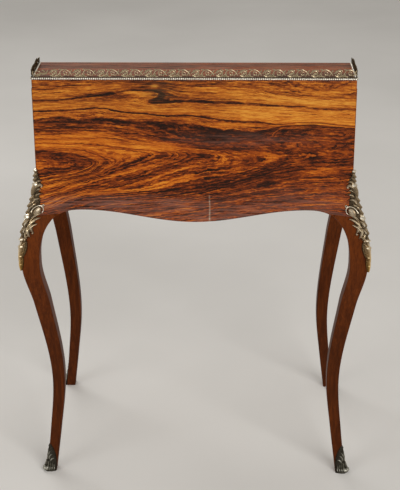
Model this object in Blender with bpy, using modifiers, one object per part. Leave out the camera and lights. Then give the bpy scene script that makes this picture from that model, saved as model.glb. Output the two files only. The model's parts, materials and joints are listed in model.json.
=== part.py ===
"""Lady's slant-front writing bureau in rosewood with brass mounts.

Metres, +Z up. The front, with its sloping fall, faces -Y, and +X is to the right of someone
who sits at it. The origin is on the floor, under the middle of the desk.
"""

import math

import bmesh
import bpy
import numpy as np
from mathutils import Vector

# Case: overall sizes and board thicknesses
CASE_WIDTH = 0.670
CASE_DEPTH = 0.402
WRITING_HEIGHT = 0.740
CASE_RISE = 0.194
SHELF_DEPTH = 0.140
PANEL_THICK = 0.016
TOP_THICK = 0.018
BED_THICK = 0.018
FALL_THICK = 0.018
RAIL_THICK = 0.018
JOINT_GAP = 0.0003

# Aprons: a serpentine lower edge that sweeps down into the legs
FRIEZE_DEPTH = 0.092
APRON_DROP = 0.0275
SIDE_APRON_DROP = 0.012
ARCH_RUN = 0.0943
ARCH_RISE = 0.112
ARCH_POWER = 2.5
APRON_STEPS = 10

# Cabriole legs: outward offsets of the outer corner from the corner of the case
POST_SIZE = 0.0364
FOOT_SIZE = 0.0225
KNEE_SIZE = 0.0393
TAPER_POWER = 1.4
FOOT_OUT = 0.0115
SHIN_HEIGHT = 0.0995
ANKLE_HEIGHT = 0.220
ANKLE_IN = 0.0096
CALF_DROP = 0.106
CALF_OUT = 0.0178
KNEE_OUT = 0.0378
SHOULDER_RISE = 0.064
SHOULDER_OUT = 0.031
NECK_DROP = 0.060
NECK_OUT = 0.0075
FLUSH_DROP = 0.020
LEVEL_RUN = 0.002
RIDGE_RADIUS = 0.003
FACE_STEPS = 3
FACE_FLUSH_DROP = 0.012

# Corner mounts and foot shoes of cast brass
MOUNT_LENGTH = 0.220
BACK_MOUNT_RISE = 0.001
FRONT_MOUNT_DROP = 0.003
MOUNT_THICK = 0.0095
MOUNT_STEPS = 28
MOUNT_REACH = 0.029
SEAT_GAP = 0.0004
SHOE_HEIGHT = 0.065
SHOE_TOE = 0.0125
SHOE_WALL = 0.0028

# Pierced gallery round three sides of the shelf
MOULDING_HEIGHT = 0.005
MOULDING_WIDTH = 0.007
MOULDING_LIP = 0.003
GALLERY_HEIGHT = 0.0185
GALLERY_THICK = 0.002
GALLERY_REPEAT = 0.050
GALLERY_SETBACK = 0.012

# Fall front with its leather, lock and hinges
FALL_CLEARANCE = 0.0005
LEATHER_THICK = 0.0012
LEATHER_SIDE_MARGIN = 0.048
LEATHER_END_MARGIN = 0.050
LOCK_WIDTH = 0.056
LOCK_HEIGHT = 0.037
LOCK_DEPTH = 0.011
LOCK_WALL = 0.003
BOLT_WIDTH = 0.016
BOLT_THICK = 0.0054
BOLT_LENGTH = 0.0133
BOLT_TRAVEL = 0.007
SLIDING_GAP = 0.0004
KEYHOLE_BELOW_EDGE = 0.0235
ESCUTCHEON_WIDTH = 0.026
ESCUTCHEON_HEIGHT = 0.036
ESCUTCHEON_THICK = 0.0012
KEYHOLE_RADIUS = 0.0036
STRIKE_WIDTH = 0.040
STRIKE_THICK = 0.0012
HINGE_INSET = 0.130
HINGE_LENGTH = 0.050
HINGE_LEAF = 0.022
LEAF_THICK = 0.0016
LEAF_SINK = 0.0002
KNUCKLE_RADIUS = 0.003
PIN_RADIUS = 0.0012
PIN_FIT = 0.0002

# Lopers, the slides that carry the open fall
LOPER_WIDTH = 0.018
LOPER_HEIGHT = 0.045
LOPER_LENGTH = 0.280
LOPER_INSET = 0.012
LOPER_SIDE_GAP = 0.0005
GUIDE_WALL = 0.006
GUIDE_GRIP = 0.016
GUIDE_BACK_GAP = 0.0374
DUST_BOARD_THICK = 0.008
DUST_BOARD_LIFT = 0.007

# Fitted interior: drawers below, pigeonholes above
NEST_DEPTH = 0.149
DRAWER_TIER = 0.052
NEST_BOARD = 0.008
DIVIDER_X = 0.105
PIGEON_BOARD = 0.006
PIGEON_SETBACK = 0.012
PIGEON_CLEARANCE = 0.011
DRAWER_FRONT_THICK = 0.010
DRAWER_WALL = 0.005
DRAWER_GAP = 0.0006
TRAY_RELIEF = 0.004

# Turned brass knobs
KNOB_RADIUS = 0.0065
KNOB_LENGTH = 0.013
KNOB_STEPS = 12

# Sizes that follow from the ones above
HALF_WIDTH = CASE_WIDTH / 2
HALF_DEPTH = CASE_DEPTH / 2
TOP_HEIGHT = WRITING_HEIGHT + CASE_RISE
APRON_CROWN = WRITING_HEIGHT - FRIEZE_DEPTH
KNEE_HEIGHT = APRON_CROWN - ARCH_RISE
CALF_HEIGHT = KNEE_HEIGHT - CALF_DROP
FACE_FLUSH = APRON_CROWN - FACE_FLUSH_DROP
SHOULDER_HEIGHT = KNEE_HEIGHT + SHOULDER_RISE
NECK_HEIGHT = WRITING_HEIGHT - NECK_DROP
FLUSH_HEIGHT = WRITING_HEIGHT - FLUSH_DROP
LEG_TOP = WRITING_HEIGHT - BED_THICK - JOINT_GAP
CASE_CEILING = TOP_HEIGHT - TOP_THICK
BACK_INNER_Y = HALF_DEPTH - PANEL_THICK - JOINT_GAP
SIDE_INNER_X = HALF_WIDTH - PANEL_THICK - JOINT_GAP
POST_INNER_X = HALF_WIDTH - POST_SIZE
POST_INNER_Y = HALF_DEPTH - POST_SIZE
FALL_RUN = CASE_DEPTH - SHELF_DEPTH
FALL_SPAN = math.hypot(FALL_RUN, CASE_RISE)
FALL_ANGLE = math.acos(FALL_THICK / FALL_SPAN) - math.atan2(FALL_RUN, CASE_RISE)
FALL_LENGTH = math.sqrt(FALL_SPAN**2 - FALL_THICK**2)
HINGE_X = HALF_WIDTH - HINGE_INSET
LOPER_X = POST_INNER_X - LOPER_INSET - LOPER_WIDTH / 2
LOPER_TOP = WRITING_HEIGHT - FALL_THICK - JOINT_GAP
LOPER_BOTTOM = LOPER_TOP - LOPER_HEIGHT
DUST_BOARD_TOP = APRON_CROWN + DUST_BOARD_LIFT + DUST_BOARD_THICK
BACK_MOUNT_TOP = WRITING_HEIGHT + BACK_MOUNT_RISE
FRONT_MOUNT_TOP = WRITING_HEIGHT - FALL_THICK - FRONT_MOUNT_DROP
NEST_FRONT_Y = BACK_INNER_Y - NEST_DEPTH
SHELF_BOTTOM = WRITING_HEIGHT + DRAWER_TIER
SHELF_TOP = SHELF_BOTTOM + NEST_BOARD


def clear_scene():
    for obj in list(bpy.data.objects):
        bpy.data.objects.remove(obj)


def new_collection(name):
    made = bpy.data.collections.new(name)
    bpy.context.scene.collection.children.link(made)
    return made


def new_finish(name, colour, roughness, metallic=0.0):
    """A Principled BSDF with one colour, roughness and metallic value."""
    made = bpy.data.materials.new(name)
    made.use_nodes = True
    shader = made.node_tree.nodes["Principled BSDF"]
    shader.inputs["Base Color"].default_value = (*colour, 1.0)
    shader.inputs["Roughness"].default_value = roughness
    shader.inputs["Metallic"].default_value = metallic
    return made


clear_scene()
PARTS = new_collection("writing_bureau")
CUTTERS = new_collection("cutters")
VENEER = new_finish("rosewood_veneer", (0.36, 0.12, 0.03), 0.3)
LEG_WOOD = new_finish("rosewood_solid", (0.16, 0.04, 0.015), 0.3)
INNER_WOOD = new_finish("satinwood_interior", (0.55, 0.33, 0.13), 0.4)
PLAIN_WOOD = new_finish("oak_carcase", (0.36, 0.23, 0.12), 0.6)
BRASS = new_finish("cast_brass", (0.50, 0.38, 0.17), 0.35, 1.0)
STEEL = new_finish("lock_steel", (0.40, 0.38, 0.36), 0.4, 1.0)
LEATHER = new_finish("writing_leather", (0.14, 0.05, 0.03), 0.5)


def place(name, data, finish, location=(0, 0, 0), rotation=(0, 0, 0), parent=None):
    """Links a named object with its finish, placed in its parent's frame."""
    obj = bpy.data.objects.new(name, data)
    obj.location = location
    obj.rotation_euler = rotation
    obj.parent = parent
    if finish is None:
        CUTTERS.objects.link(obj)
        obj.hide_render = True
        obj.display_type = "WIRE"
    else:
        PARTS.objects.link(obj)
        data.materials.append(finish)
    return obj


def box(name, low, high, finish, parent=None):
    """A rectangular board between two opposite corners; with no finish it is a cutter."""
    low = Vector(low)
    high = Vector(high)
    cube = bmesh.new()
    bmesh.ops.create_cube(cube, size=1.0)
    bmesh.ops.scale(cube, vec=high - low, verts=cube.verts)
    mesh = bpy.data.meshes.new(name)
    cube.to_mesh(mesh)
    cube.free()
    return place(name, mesh, finish, (low + high) / 2, parent=parent)


def rod(name, radius, length, centre, along, finish, parent=None, sides=16):
    """A round bar about its centre, along the axis X, Y or Z."""
    turns = {"X": (0, math.pi / 2, 0), "Y": (math.pi / 2, 0, 0), "Z": (0, 0, 0)}
    cone = bmesh.new()
    bmesh.ops.create_cone(
        cone, cap_ends=True, segments=sides, radius1=radius, radius2=radius, depth=length
    )
    mesh = bpy.data.meshes.new(name)
    cone.to_mesh(mesh)
    cone.free()
    return place(name, mesh, finish, centre, turns[along], parent)


def flat_curve(name, outlines, thickness):
    """A filled 2D curve with sharp points, extruded to a thickness about its own plane."""
    curve = bpy.data.curves.new(name, "CURVE")
    curve.dimensions = "2D"
    curve.fill_mode = "BOTH"
    curve.extrude = thickness / 2
    for outline in outlines:
        spline = curve.splines.new("POLY")
        spline.points.add(len(outline) - 1)
        for point, (across, up) in zip(spline.points, outline):
            point.co = (across, up, 0, 1)
        spline.use_cyclic_u = True
    return curve


FACING_FRONT = (math.pi / 2, 0, 0)
FACING_SIDE = (math.pi / 2, 0, math.pi / 2)


def as_mesh(obj):
    """The same piece with its curve turned into a welded mesh, so that it can be cut."""
    bpy.context.view_layer.update()
    graph = bpy.context.evaluated_depsgraph_get()
    mesh = bpy.data.meshes.new_from_object(obj.evaluated_get(graph))
    welded = bmesh.new()
    welded.from_mesh(mesh)
    bmesh.ops.remove_doubles(welded, verts=welded.verts, dist=1e-6)
    bmesh.ops.recalc_face_normals(welded, faces=welded.faces)
    welded.to_mesh(mesh)
    welded.free()
    name, finish, parent = obj.name, obj.data.materials[0], obj.parent
    local = obj.matrix_local.copy()
    mesh.materials.clear()
    bpy.data.objects.remove(obj)
    made = place(name, mesh, finish, parent=parent)
    made.matrix_local = local
    return made


def combine(obj, other, operation):
    """Cuts or joins another mesh; a joined piece is kept out of the render from then on."""
    modifier = obj.modifiers.new(other.name, "BOOLEAN")
    modifier.operation = operation
    modifier.solver = "EXACT"
    modifier.object = other


def loft(name, rings, finish, location=(0, 0, 0), parent=None):
    """A closed skin through rings that have the same number of points."""
    skin = bmesh.new()
    rows = [[skin.verts.new(point) for point in ring] for ring in rings]
    count = len(rows[0])
    for below, above in zip(rows, rows[1:]):
        for i in range(count):
            j = (i + 1) % count
            skin.faces.new((below[i], below[j], above[j], above[i]))
    skin.faces.new(rows[0])
    skin.faces.new(rows[-1])
    bmesh.ops.recalc_face_normals(skin, faces=skin.faces)
    mesh = bpy.data.meshes.new(name)
    skin.to_mesh(mesh)
    skin.free()
    mesh.shade_smooth()
    mesh.set_sharp_from_angle(angle=math.radians(40))
    return place(name, mesh, finish, location, parent=parent)


def turned(name, profile, finish, location, rotation, parent=None):
    """A turned piece: a profile of (radius, height) from the tip down, spun round its own Z axis."""
    mesh = bpy.data.meshes.new(name)
    points = [(radius, 0, height) for radius, height in profile]
    mesh.from_pydata(points, [(i, i + 1) for i in range(len(points) - 1)], [])
    obj = place(name, mesh, finish, location, rotation, parent)
    screw = obj.modifiers.new("turned", "SCREW")
    screw.axis = "Z"
    screw.steps = KNOB_STEPS
    screw.render_steps = KNOB_STEPS
    screw.use_merge_vertices = True
    screw.merge_threshold = 1e-5
    screw.use_smooth_shade = True
    return obj


def smooth_through(stations, at):
    """The height of a smooth curve through (place, value) stations, by cubic Hermite pieces."""
    places, values = np.array(stations, float).T
    slopes = np.gradient(values, places)
    i = int(np.clip(np.searchsorted(places, at) - 1, 0, len(places) - 2))
    width = places[i + 1] - places[i]
    t = (at - places[i]) / width
    start = (1 + 2 * t) * (1 - t) ** 2 * values[i] + t * (1 - t) ** 2 * width * slopes[i]
    end = t**2 * (3 - 2 * t) * values[i + 1] + t**2 * (t - 1) * width * slopes[i + 1]
    return float(start + end)


def leg_offset(z):
    """How far the leg's outer corner stands out from the corner of the case, each way."""
    stations = (
        (0.0, FOOT_OUT),
        (SHIN_HEIGHT, 0.0),
        (ANKLE_HEIGHT, -ANKLE_IN),
        (CALF_HEIGHT, CALF_OUT),
        (KNEE_HEIGHT, KNEE_OUT),
        (SHOULDER_HEIGHT, SHOULDER_OUT),
        (NECK_HEIGHT, NECK_OUT),
        (FLUSH_HEIGHT, 0.0),
        (FLUSH_HEIGHT + LEVEL_RUN, 0.0),
        (FLUSH_HEIGHT + POST_SIZE, 0.0),
    )
    return smooth_through(stations, z)


ARCH_FOOT_OUT = leg_offset(KNEE_HEIGHT) - KNEE_SIZE
ARCH_CROWN_OUT = ARCH_FOOT_OUT - ARCH_RUN


def arch_height(out):
    """Height of the arch between apron and leg at an offset from the corner of the case."""
    share = min(1.0, max(0.0, (out - ARCH_CROWN_OUT) / ARCH_RUN))
    rise = (1 - share**ARCH_POWER) ** (1 / ARCH_POWER)
    return KNEE_HEIGHT + (APRON_CROWN - KNEE_HEIGHT) * rise


def leg_inner(z):
    """Offset of the leg's inner faces: a straight taper, then the arch, then the square post."""
    if z <= KNEE_HEIGHT:
        taper = (max(z, 0.0) / KNEE_HEIGHT) ** TAPER_POWER
        return leg_offset(z) - FOOT_SIZE - (KNEE_SIZE - FOOT_SIZE) * taper
    share = min(1.0, (z - KNEE_HEIGHT) / (APRON_CROWN - KNEE_HEIGHT))
    arch = ARCH_CROWN_OUT + ARCH_RUN * (1 - share**ARCH_POWER) ** (1 / ARCH_POWER)
    return max(arch, -POST_SIZE)


def face_dip(z, away):
    """How far a leg's outer face has fallen back towards the case, at a distance from its ridge.

    From the knee up, the face leans more and more, until it meets the panels flush.
    """
    share = min(1.0, max(0.0, (z - KNEE_HEIGHT) / (FACE_FLUSH - KNEE_HEIGHT)))
    outer = leg_offset(z)
    return share * outer * away / (outer + POST_SIZE)


def apron_edge(half_length, drop):
    """The lower edge of an apron from one leg post to the other, as (across, height) points."""
    end = half_length - POST_SIZE - JOINT_GAP
    crown = half_length + ARCH_CROWN_OUT
    middle = np.linspace(0, crown, APRON_STEPS)
    serpentine = APRON_CROWN - drop * (1 + np.cos(np.pi * middle / crown)) / 2
    half = list(zip(middle, serpentine))
    for across in np.linspace(crown, end, APRON_STEPS // 2)[1:]:
        half.append((across, arch_height(across - half_length)))
    return [(-across, up) for across, up in reversed(half[1:])] + half


def make_back_panel():
    """The veneered back, notched at its lower corners for the leg posts."""
    notch_x = POST_INNER_X - JOINT_GAP
    notch_z = LEG_TOP + JOINT_GAP
    top = CASE_CEILING - JOINT_GAP
    outline = apron_edge(HALF_WIDTH, APRON_DROP)
    outline += [(notch_x, notch_z), (HALF_WIDTH, notch_z), (HALF_WIDTH, top)]
    outline += [(-HALF_WIDTH, top), (-HALF_WIDTH, notch_z), (-notch_x, notch_z)]
    curve = flat_curve("back_panel", [outline], PANEL_THICK)
    middle = HALF_DEPTH - PANEL_THICK / 2
    place("back_panel", curve, VENEER, (0, middle, 0), FACING_FRONT)


def make_front_rail():
    """The front apron, with a mouth at each end of its upper edge for a loper."""
    end = POST_INNER_X - JOINT_GAP
    top = LEG_TOP
    floor = LOPER_BOTTOM - JOINT_GAP
    half_mouth = LOPER_WIDTH / 2 + LOPER_SIDE_GAP
    mouth = [(half_mouth, top), (half_mouth, floor), (-half_mouth, floor), (-half_mouth, top)]
    outline = apron_edge(HALF_WIDTH, APRON_DROP)
    outline += [(end, top)]
    for centre in (LOPER_X, -LOPER_X):
        outline += [(centre + across, up) for across, up in mouth]
    outline += [(-end, top)]
    curve = flat_curve("front_rail", [outline], RAIL_THICK)
    middle = -HALF_DEPTH + RAIL_THICK / 2
    place("front_rail", curve, VENEER, (0, middle, 0), FACING_FRONT)


def slope_y(z):
    """Where the inner face of the closed fall stands at a height."""
    return -HALF_DEPTH + (z - WRITING_HEIGHT) / math.tan(FALL_ANGLE)


def make_side_panels():
    """The two ends of the case, cut to the slope of the fall."""
    inset = JOINT_GAP * math.cos(FALL_ANGLE)
    ceiling = CASE_CEILING - JOINT_GAP
    slope_top_y = slope_y(ceiling + inset)
    notch_z = LEG_TOP + JOINT_GAP
    notch_y = POST_INNER_Y - JOINT_GAP
    outline = apron_edge(HALF_DEPTH, SIDE_APRON_DROP)
    outline += [(notch_y, notch_z), (BACK_INNER_Y, notch_z), (BACK_INNER_Y, ceiling)]
    outline += [(slope_top_y, ceiling), (-HALF_DEPTH, WRITING_HEIGHT - JOINT_GAP)]
    outline += [(-HALF_DEPTH, notch_z), (-notch_y, notch_z)]
    middle = HALF_WIDTH - PANEL_THICK / 2
    for side, sign in (("left", -1), ("right", 1)):
        name = f"side_panel_{side}"
        curve = flat_curve(name, [outline], PANEL_THICK)
        place(name, curve, VENEER, (sign * middle, 0, 0), FACING_SIDE)


def make_legs():
    """Four cabriole legs, each one piece from the floor to the post inside the case."""
    below = np.linspace(0, KNEE_HEIGHT, 18)
    arch = KNEE_HEIGHT + (APRON_CROWN - KNEE_HEIGHT) * np.sin(np.linspace(0.08, 1.35, 14))
    post = np.linspace(APRON_CROWN, LEG_TOP, 7)
    heights = [*below, *arch, *post]
    for depth, sign_y in (("front", -1), ("back", 1)):
        for side, sign_x in (("left", -1), ("right", 1)):
            rings = [leg_ring(z, sign_x, sign_y) for z in heights]
            corner = (sign_x * HALF_WIDTH, sign_y * HALF_DEPTH, 0)
            loft(f"leg_{depth}_{side}", rings, LEG_WOOD, corner)


def leg_ring(z, sign_x, sign_y):
    """One four-sided section of the leg with eased corners, from its offsets at that height.

    Each corner is given with the directions back and ahead along its two edges.
    """
    outer = leg_offset(z)
    inner = leg_inner(z)
    lean = face_dip(z, 1.0)
    side = outer - lean * (outer - inner)
    ease = RIDGE_RADIUS
    mid = ease * (1 - math.sqrt(0.5))
    turns = (
        (outer, outer, (-lean, -1), (-1, -lean)),
        (inner, side, (1, lean), (0, -1)),
        (inner, inner, (0, 1), (1, 0)),
        (side, inner, (-1, 0), (lean, 1)),
    )
    corners = []
    for x, y, back, ahead in turns:
        corners.append((x + ease * back[0], y + ease * back[1]))
        corners.append((x + mid * (back[0] + ahead[0]), y + mid * (back[1] + ahead[1])))
        corners.append((x + ease * ahead[0], y + ease * ahead[1]))
    shares = np.linspace(0, 1, FACE_STEPS + 1)[1:-1]
    across = [(outer + (inner - outer) * t, outer + (side - outer) * t) for t in shares]
    down = [(y, x) for x, y in reversed(across)]
    points = corners[:3] + across + corners[3:] + down
    return [Vector((sign_x * x, sign_y * y, z)) for x, y in points]


def corner_ring(z, reach, edge, crest, sign_x, sign_y):
    """An L-shaped section that wraps the leg's outer corner, as far as reach along each face."""
    seat = leg_offset(z) + SEAT_GAP
    half = seat - reach / 2
    end = seat - reach
    low = seat - face_dip(z, reach)
    mid = seat - face_dip(z, reach / 2)
    swell = mid + (edge + crest) / 2
    points = [(low, end), (mid, half), (seat, seat), (half, mid), (end, low)]
    points += [(end, low + edge), (half, swell), (seat + crest, seat + crest)]
    points += [(swell, half), (low + edge, end)]
    return [Vector((sign_x * x, sign_y * y, z)) for x, y in points]


def mount_outline(share):
    """Reach of the mount along each face, as a share of its greatest, from its tip to its crown."""
    stations = (
        (0.00, 0.06),
        (0.13, 0.14),
        (0.25, 0.24),
        (0.33, 0.34),
        (0.40, 0.52),
        (0.46, 0.80),
        (0.52, 0.96),
        (0.60, 1.00),
        (0.66, 0.92),
        (0.72, 0.66),
        (0.78, 0.46),
        (0.83, 0.50),
        (0.88, 0.48),
        (0.92, 0.24),
        (1.00, 0.14),
    )
    return smooth_through(stations, share)


def make_mounts_and_shoes():
    """A cast mount on each knee and a shoe round the outer faces of each foot."""
    for depth, sign_y, top in (("front", -1, FRONT_MOUNT_TOP), ("back", 1, BACK_MOUNT_TOP)):
        for side, sign_x in (("left", -1), ("right", 1)):
            corner = (sign_x * HALF_WIDTH, sign_y * HALF_DEPTH, 0)
            rings = []
            for share in np.linspace(0, 1, MOUNT_STEPS):
                z = top - MOUNT_LENGTH * (1 - share)
                reach = MOUNT_REACH * mount_outline(share)
                crest = MOUNT_THICK * (0.6 + 0.4 * math.sin(math.pi * share))
                rings.append(corner_ring(z, reach, crest / 2, crest, sign_x, sign_y))
            loft(f"corner_mount_{depth}_{side}", rings, BRASS, corner)
            rings = []
            for share in np.linspace(0, 1, 9):
                reach = FOOT_SIZE * (1.0 - 0.85 * share**1.5)
                crest = SHOE_WALL + (SHOE_TOE - SHOE_WALL) * (1 - share) ** 3
                ring = corner_ring(SHOE_HEIGHT * share, reach, SHOE_WALL, crest, sign_x, sign_y)
                rings.append(ring)
            loft(f"foot_shoe_{depth}_{side}", rings, BRASS, corner)


def make_top_board(pivot):
    """The shelf, with its front edge bevelled to meet the end of the closed fall."""
    slant = math.tan(FALL_ANGLE)
    edge_y = HALF_DEPTH - SHELF_DEPTH + FALL_CLEARANCE / math.cos(FALL_ANGLE)
    outline = [(edge_y, TOP_HEIGHT), (edge_y + TOP_THICK * slant, CASE_CEILING)]
    outline += [(HALF_DEPTH, CASE_CEILING), (HALF_DEPTH, TOP_HEIGHT)]
    curve = flat_curve("top_board", [outline], CASE_WIDTH)
    board = as_mesh(place("top_board", curve, VENEER, rotation=FACING_SIDE))
    edge = FALL_LENGTH + FALL_CLEARANCE
    middle = LOCK_DEPTH / 2
    half_strike = BOLT_THICK / 2 + LOCK_WALL
    fit = JOINT_GAP
    pocket = box(
        "strike_pocket",
        (-STRIKE_WIDTH / 2 - fit, edge - LOCK_WALL, middle - half_strike - fit),
        (STRIKE_WIDTH / 2 + fit, edge + STRIKE_THICK + fit, middle + half_strike + fit),
        None,
        pivot,
    )
    half_slot = BOLT_WIDTH / 2 + SLIDING_GAP
    half_bolt = BOLT_THICK / 2 + SLIDING_GAP
    depth = edge + BOLT_TRAVEL + LOCK_WALL
    mortise = box(
        "bolt_mortise",
        (-half_slot, edge - LOCK_WALL, middle - half_bolt),
        (half_slot, depth, middle + half_bolt),
        None,
        pivot,
    )
    combine(board, pocket, "DIFFERENCE")
    combine(board, mortise, "DIFFERENCE")
    plate = box(
        "strike_plate",
        (-STRIKE_WIDTH / 2, edge, middle - half_strike),
        (STRIKE_WIDTH / 2, edge + STRIKE_THICK, middle + half_strike),
        BRASS,
        pivot,
    )
    combine(plate, mortise, "DIFFERENCE")


def hinge_cut_boxes(name, sign, parent, base, turn):
    """Cutters for one hinge: a shallow leaf pocket and a rebate round the knuckles."""
    fit = JOINT_GAP
    half = HINGE_LENGTH / 2 + fit
    deep = LEAF_SINK + LEAF_THICK + fit
    bottom, top = (-deep, fit) if turn < 0 else (-fit, deep)
    centre = Vector(base) + Vector((sign * HINGE_X, 0, 0))
    leaf = box(
        f"{name}_leaf_pocket",
        centre + Vector((-half, -fit, bottom)),
        centre + Vector((half, HINGE_LEAF + fit, top)),
        None,
        parent,
    )
    room = KNUCKLE_RADIUS + 2 * fit
    knuckle = box(
        f"{name}_knuckle_rebate",
        centre + Vector((-half, -room, -room)),
        centre + Vector((half, room, room)),
        None,
        parent,
    )
    return leaf, knuckle


def make_writing_bed():
    """The fixed part of the writing surface, inside the case."""
    bed = box(
        "writing_bed",
        (-SIDE_INNER_X, -HALF_DEPTH, WRITING_HEIGHT - BED_THICK),
        (SIDE_INNER_X, BACK_INNER_Y, WRITING_HEIGHT),
        INNER_WOOD,
    )
    hinge_line = (0, -HALF_DEPTH, WRITING_HEIGHT)
    for side, sign in (("left", -1), ("right", 1)):
        for cutter in hinge_cut_boxes(f"bed_{side}", sign, None, hinge_line, -1):
            combine(bed, cutter, "DIFFERENCE")


def make_fall(pivot):
    """The sloping fall: its board, the leather let into its inner face, and the lock's mortise."""
    board = box(
        "fall_board",
        (-HALF_WIDTH, FALL_CLEARANCE, 0),
        (HALF_WIDTH, FALL_LENGTH, FALL_THICK),
        VENEER,
        pivot,
    )
    skin_x = HALF_WIDTH - LEATHER_SIDE_MARGIN
    skin_low = LEATHER_END_MARGIN
    skin_high = FALL_LENGTH - LEATHER_END_MARGIN
    fit = JOINT_GAP
    recess = box(
        "leather_recess",
        (-skin_x - fit, skin_low - fit, -LEATHER_THICK),
        (skin_x + fit, skin_high + fit, LEATHER_THICK + fit),
        None,
        pivot,
    )
    mortise = box(
        "lock_mortise",
        (-LOCK_WIDTH / 2 - fit, FALL_LENGTH - LOCK_HEIGHT - fit, -LOCK_DEPTH),
        (LOCK_WIDTH / 2 + fit, FALL_LENGTH + LOCK_HEIGHT, LOCK_DEPTH + fit),
        None,
        pivot,
    )
    key_y = FALL_LENGTH - KEYHOLE_BELOW_EDGE
    keyhole = rod(
        "keyhole", KEYHOLE_RADIUS, 4 * FALL_THICK, (0, key_y, 0), "Z", None, pivot
    )
    for cutter in (recess, mortise, keyhole):
        combine(board, cutter, "DIFFERENCE")
    for side, sign in (("left", -1), ("right", 1)):
        for cutter in hinge_cut_boxes(f"fall_{side}", sign, pivot, (0, 0, 0), 1):
            combine(board, cutter, "DIFFERENCE")
    box(
        "writing_leather",
        (-skin_x, skin_low, 0),
        (skin_x, skin_high, LEATHER_THICK),
        LEATHER,
        pivot,
    )


def make_lock(pivot):
    """A box lock in the upper edge of the fall, with its bolt and escutcheon."""
    top = FALL_LENGTH - JOINT_GAP
    bottom = FALL_LENGTH - LOCK_HEIGHT
    case = box(
        "lock_case",
        (-LOCK_WIDTH / 2, bottom, 0),
        (LOCK_WIDTH / 2, top, LOCK_DEPTH),
        STEEL,
        pivot,
    )
    hollow = box(
        "lock_hollow",
        (-LOCK_WIDTH / 2 + LOCK_WALL, bottom + LOCK_WALL, LOCK_WALL - SLIDING_GAP),
        (LOCK_WIDTH / 2 - LOCK_WALL, top - LOCK_WALL, 2 * LOCK_DEPTH),
        None,
        pivot,
    )
    middle = LOCK_DEPTH / 2
    half_bolt = BOLT_THICK / 2
    slot = box(
        "bolt_slot",
        (-BOLT_WIDTH / 2 - SLIDING_GAP, top - 2 * LOCK_WALL, middle - half_bolt - SLIDING_GAP),
        (BOLT_WIDTH / 2 + SLIDING_GAP, top + LOCK_WALL, middle + half_bolt + SLIDING_GAP),
        None,
        pivot,
    )
    combine(case, hollow, "DIFFERENCE")
    combine(case, slot, "DIFFERENCE")
    box(
        "lock_bolt",
        (-BOLT_WIDTH / 2, top - BOLT_LENGTH, middle - half_bolt),
        (BOLT_WIDTH / 2, top, middle + half_bolt),
        STEEL,
        pivot,
    )
    make_escutcheon(pivot)


def make_escutcheon(pivot):
    """An oval brass plate round the keyhole, on the outer face of the fall."""
    angles = np.linspace(0, 2 * math.pi, 24, endpoint=False)
    oval = [
        (ESCUTCHEON_WIDTH / 2 * math.cos(a), ESCUTCHEON_HEIGHT / 2 * math.sin(a)) for a in angles
    ]
    hole = [(KEYHOLE_RADIUS * math.cos(a), KEYHOLE_RADIUS * math.sin(a)) for a in angles[::2]]
    curve = flat_curve("escutcheon", [oval, hole], ESCUTCHEON_THICK)
    key_y = FALL_LENGTH - KEYHOLE_BELOW_EDGE
    height = FALL_THICK + JOINT_GAP + ESCUTCHEON_THICK / 2
    place("escutcheon", curve, BRASS, (0, key_y, height), parent=pivot)


def make_hinges(pivot):
    """Two brass hinges on the line between bed and fall, each of two leaves and a pin."""
    line = Vector((0, -HALF_DEPTH, WRITING_HEIGHT))
    third = HINGE_LENGTH / 6
    gap = JOINT_GAP
    seat = LEAF_SINK + LEAF_THICK / 2
    outer = [(-3 * third, -third - gap), (third + gap, 3 * third)]
    inner = [(-third, third)]
    for side, sign in (("left", -1), ("right", 1)):
        shift = Vector((sign * HINGE_X, 0, 0))
        hinge_leaf(f"hinge_case_leaf_{side}", line + shift, outer, -seat, None)
        hinge_leaf(f"hinge_fall_leaf_{side}", shift, inner, seat, pivot)
        rod(f"hinge_pin_{side}", PIN_RADIUS, HINGE_LENGTH, line + shift, "X", BRASS, sides=10)


def hinge_leaf(name, centre, knuckles, middle, parent):
    """A leaf with tabs that end in knuckles, bored for the pin."""
    half = HINGE_LENGTH / 2
    root = KNUCKLE_RADIUS + 3 * JOINT_GAP
    tip = (KNUCKLE_RADIUS + PIN_RADIUS) / 2
    outline = [(-half, HINGE_LEAF), (-half, root)]
    for start, end in knuckles:
        left = start + JOINT_GAP
        right = end - JOINT_GAP
        outline += [(left, root), (left, tip), (right, tip), (right, root)]
    outline += [(half, root), (half, HINGE_LEAF)]
    faces = (middle - LEAF_THICK / 2, middle + LEAF_THICK / 2)
    rings = [[(x, y, z) for x, y in outline] for z in faces]
    leaf = loft(name, rings, BRASS, centre, parent)
    for i, (start, end) in enumerate(knuckles):
        place_x = Vector(centre) + Vector(((start + end) / 2, 0, 0))
        barrel = rod(
            f"{name}_barrel_{i}", KNUCKLE_RADIUS, end - start, place_x, "X", None, parent, 12
        )
        combine(leaf, barrel, "UNION")
    bore = PIN_RADIUS + PIN_FIT
    hole = rod(f"{name}_bore", bore, 2 * HINGE_LENGTH, centre, "X", None, parent, 12)
    combine(leaf, hole, "DIFFERENCE")


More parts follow.
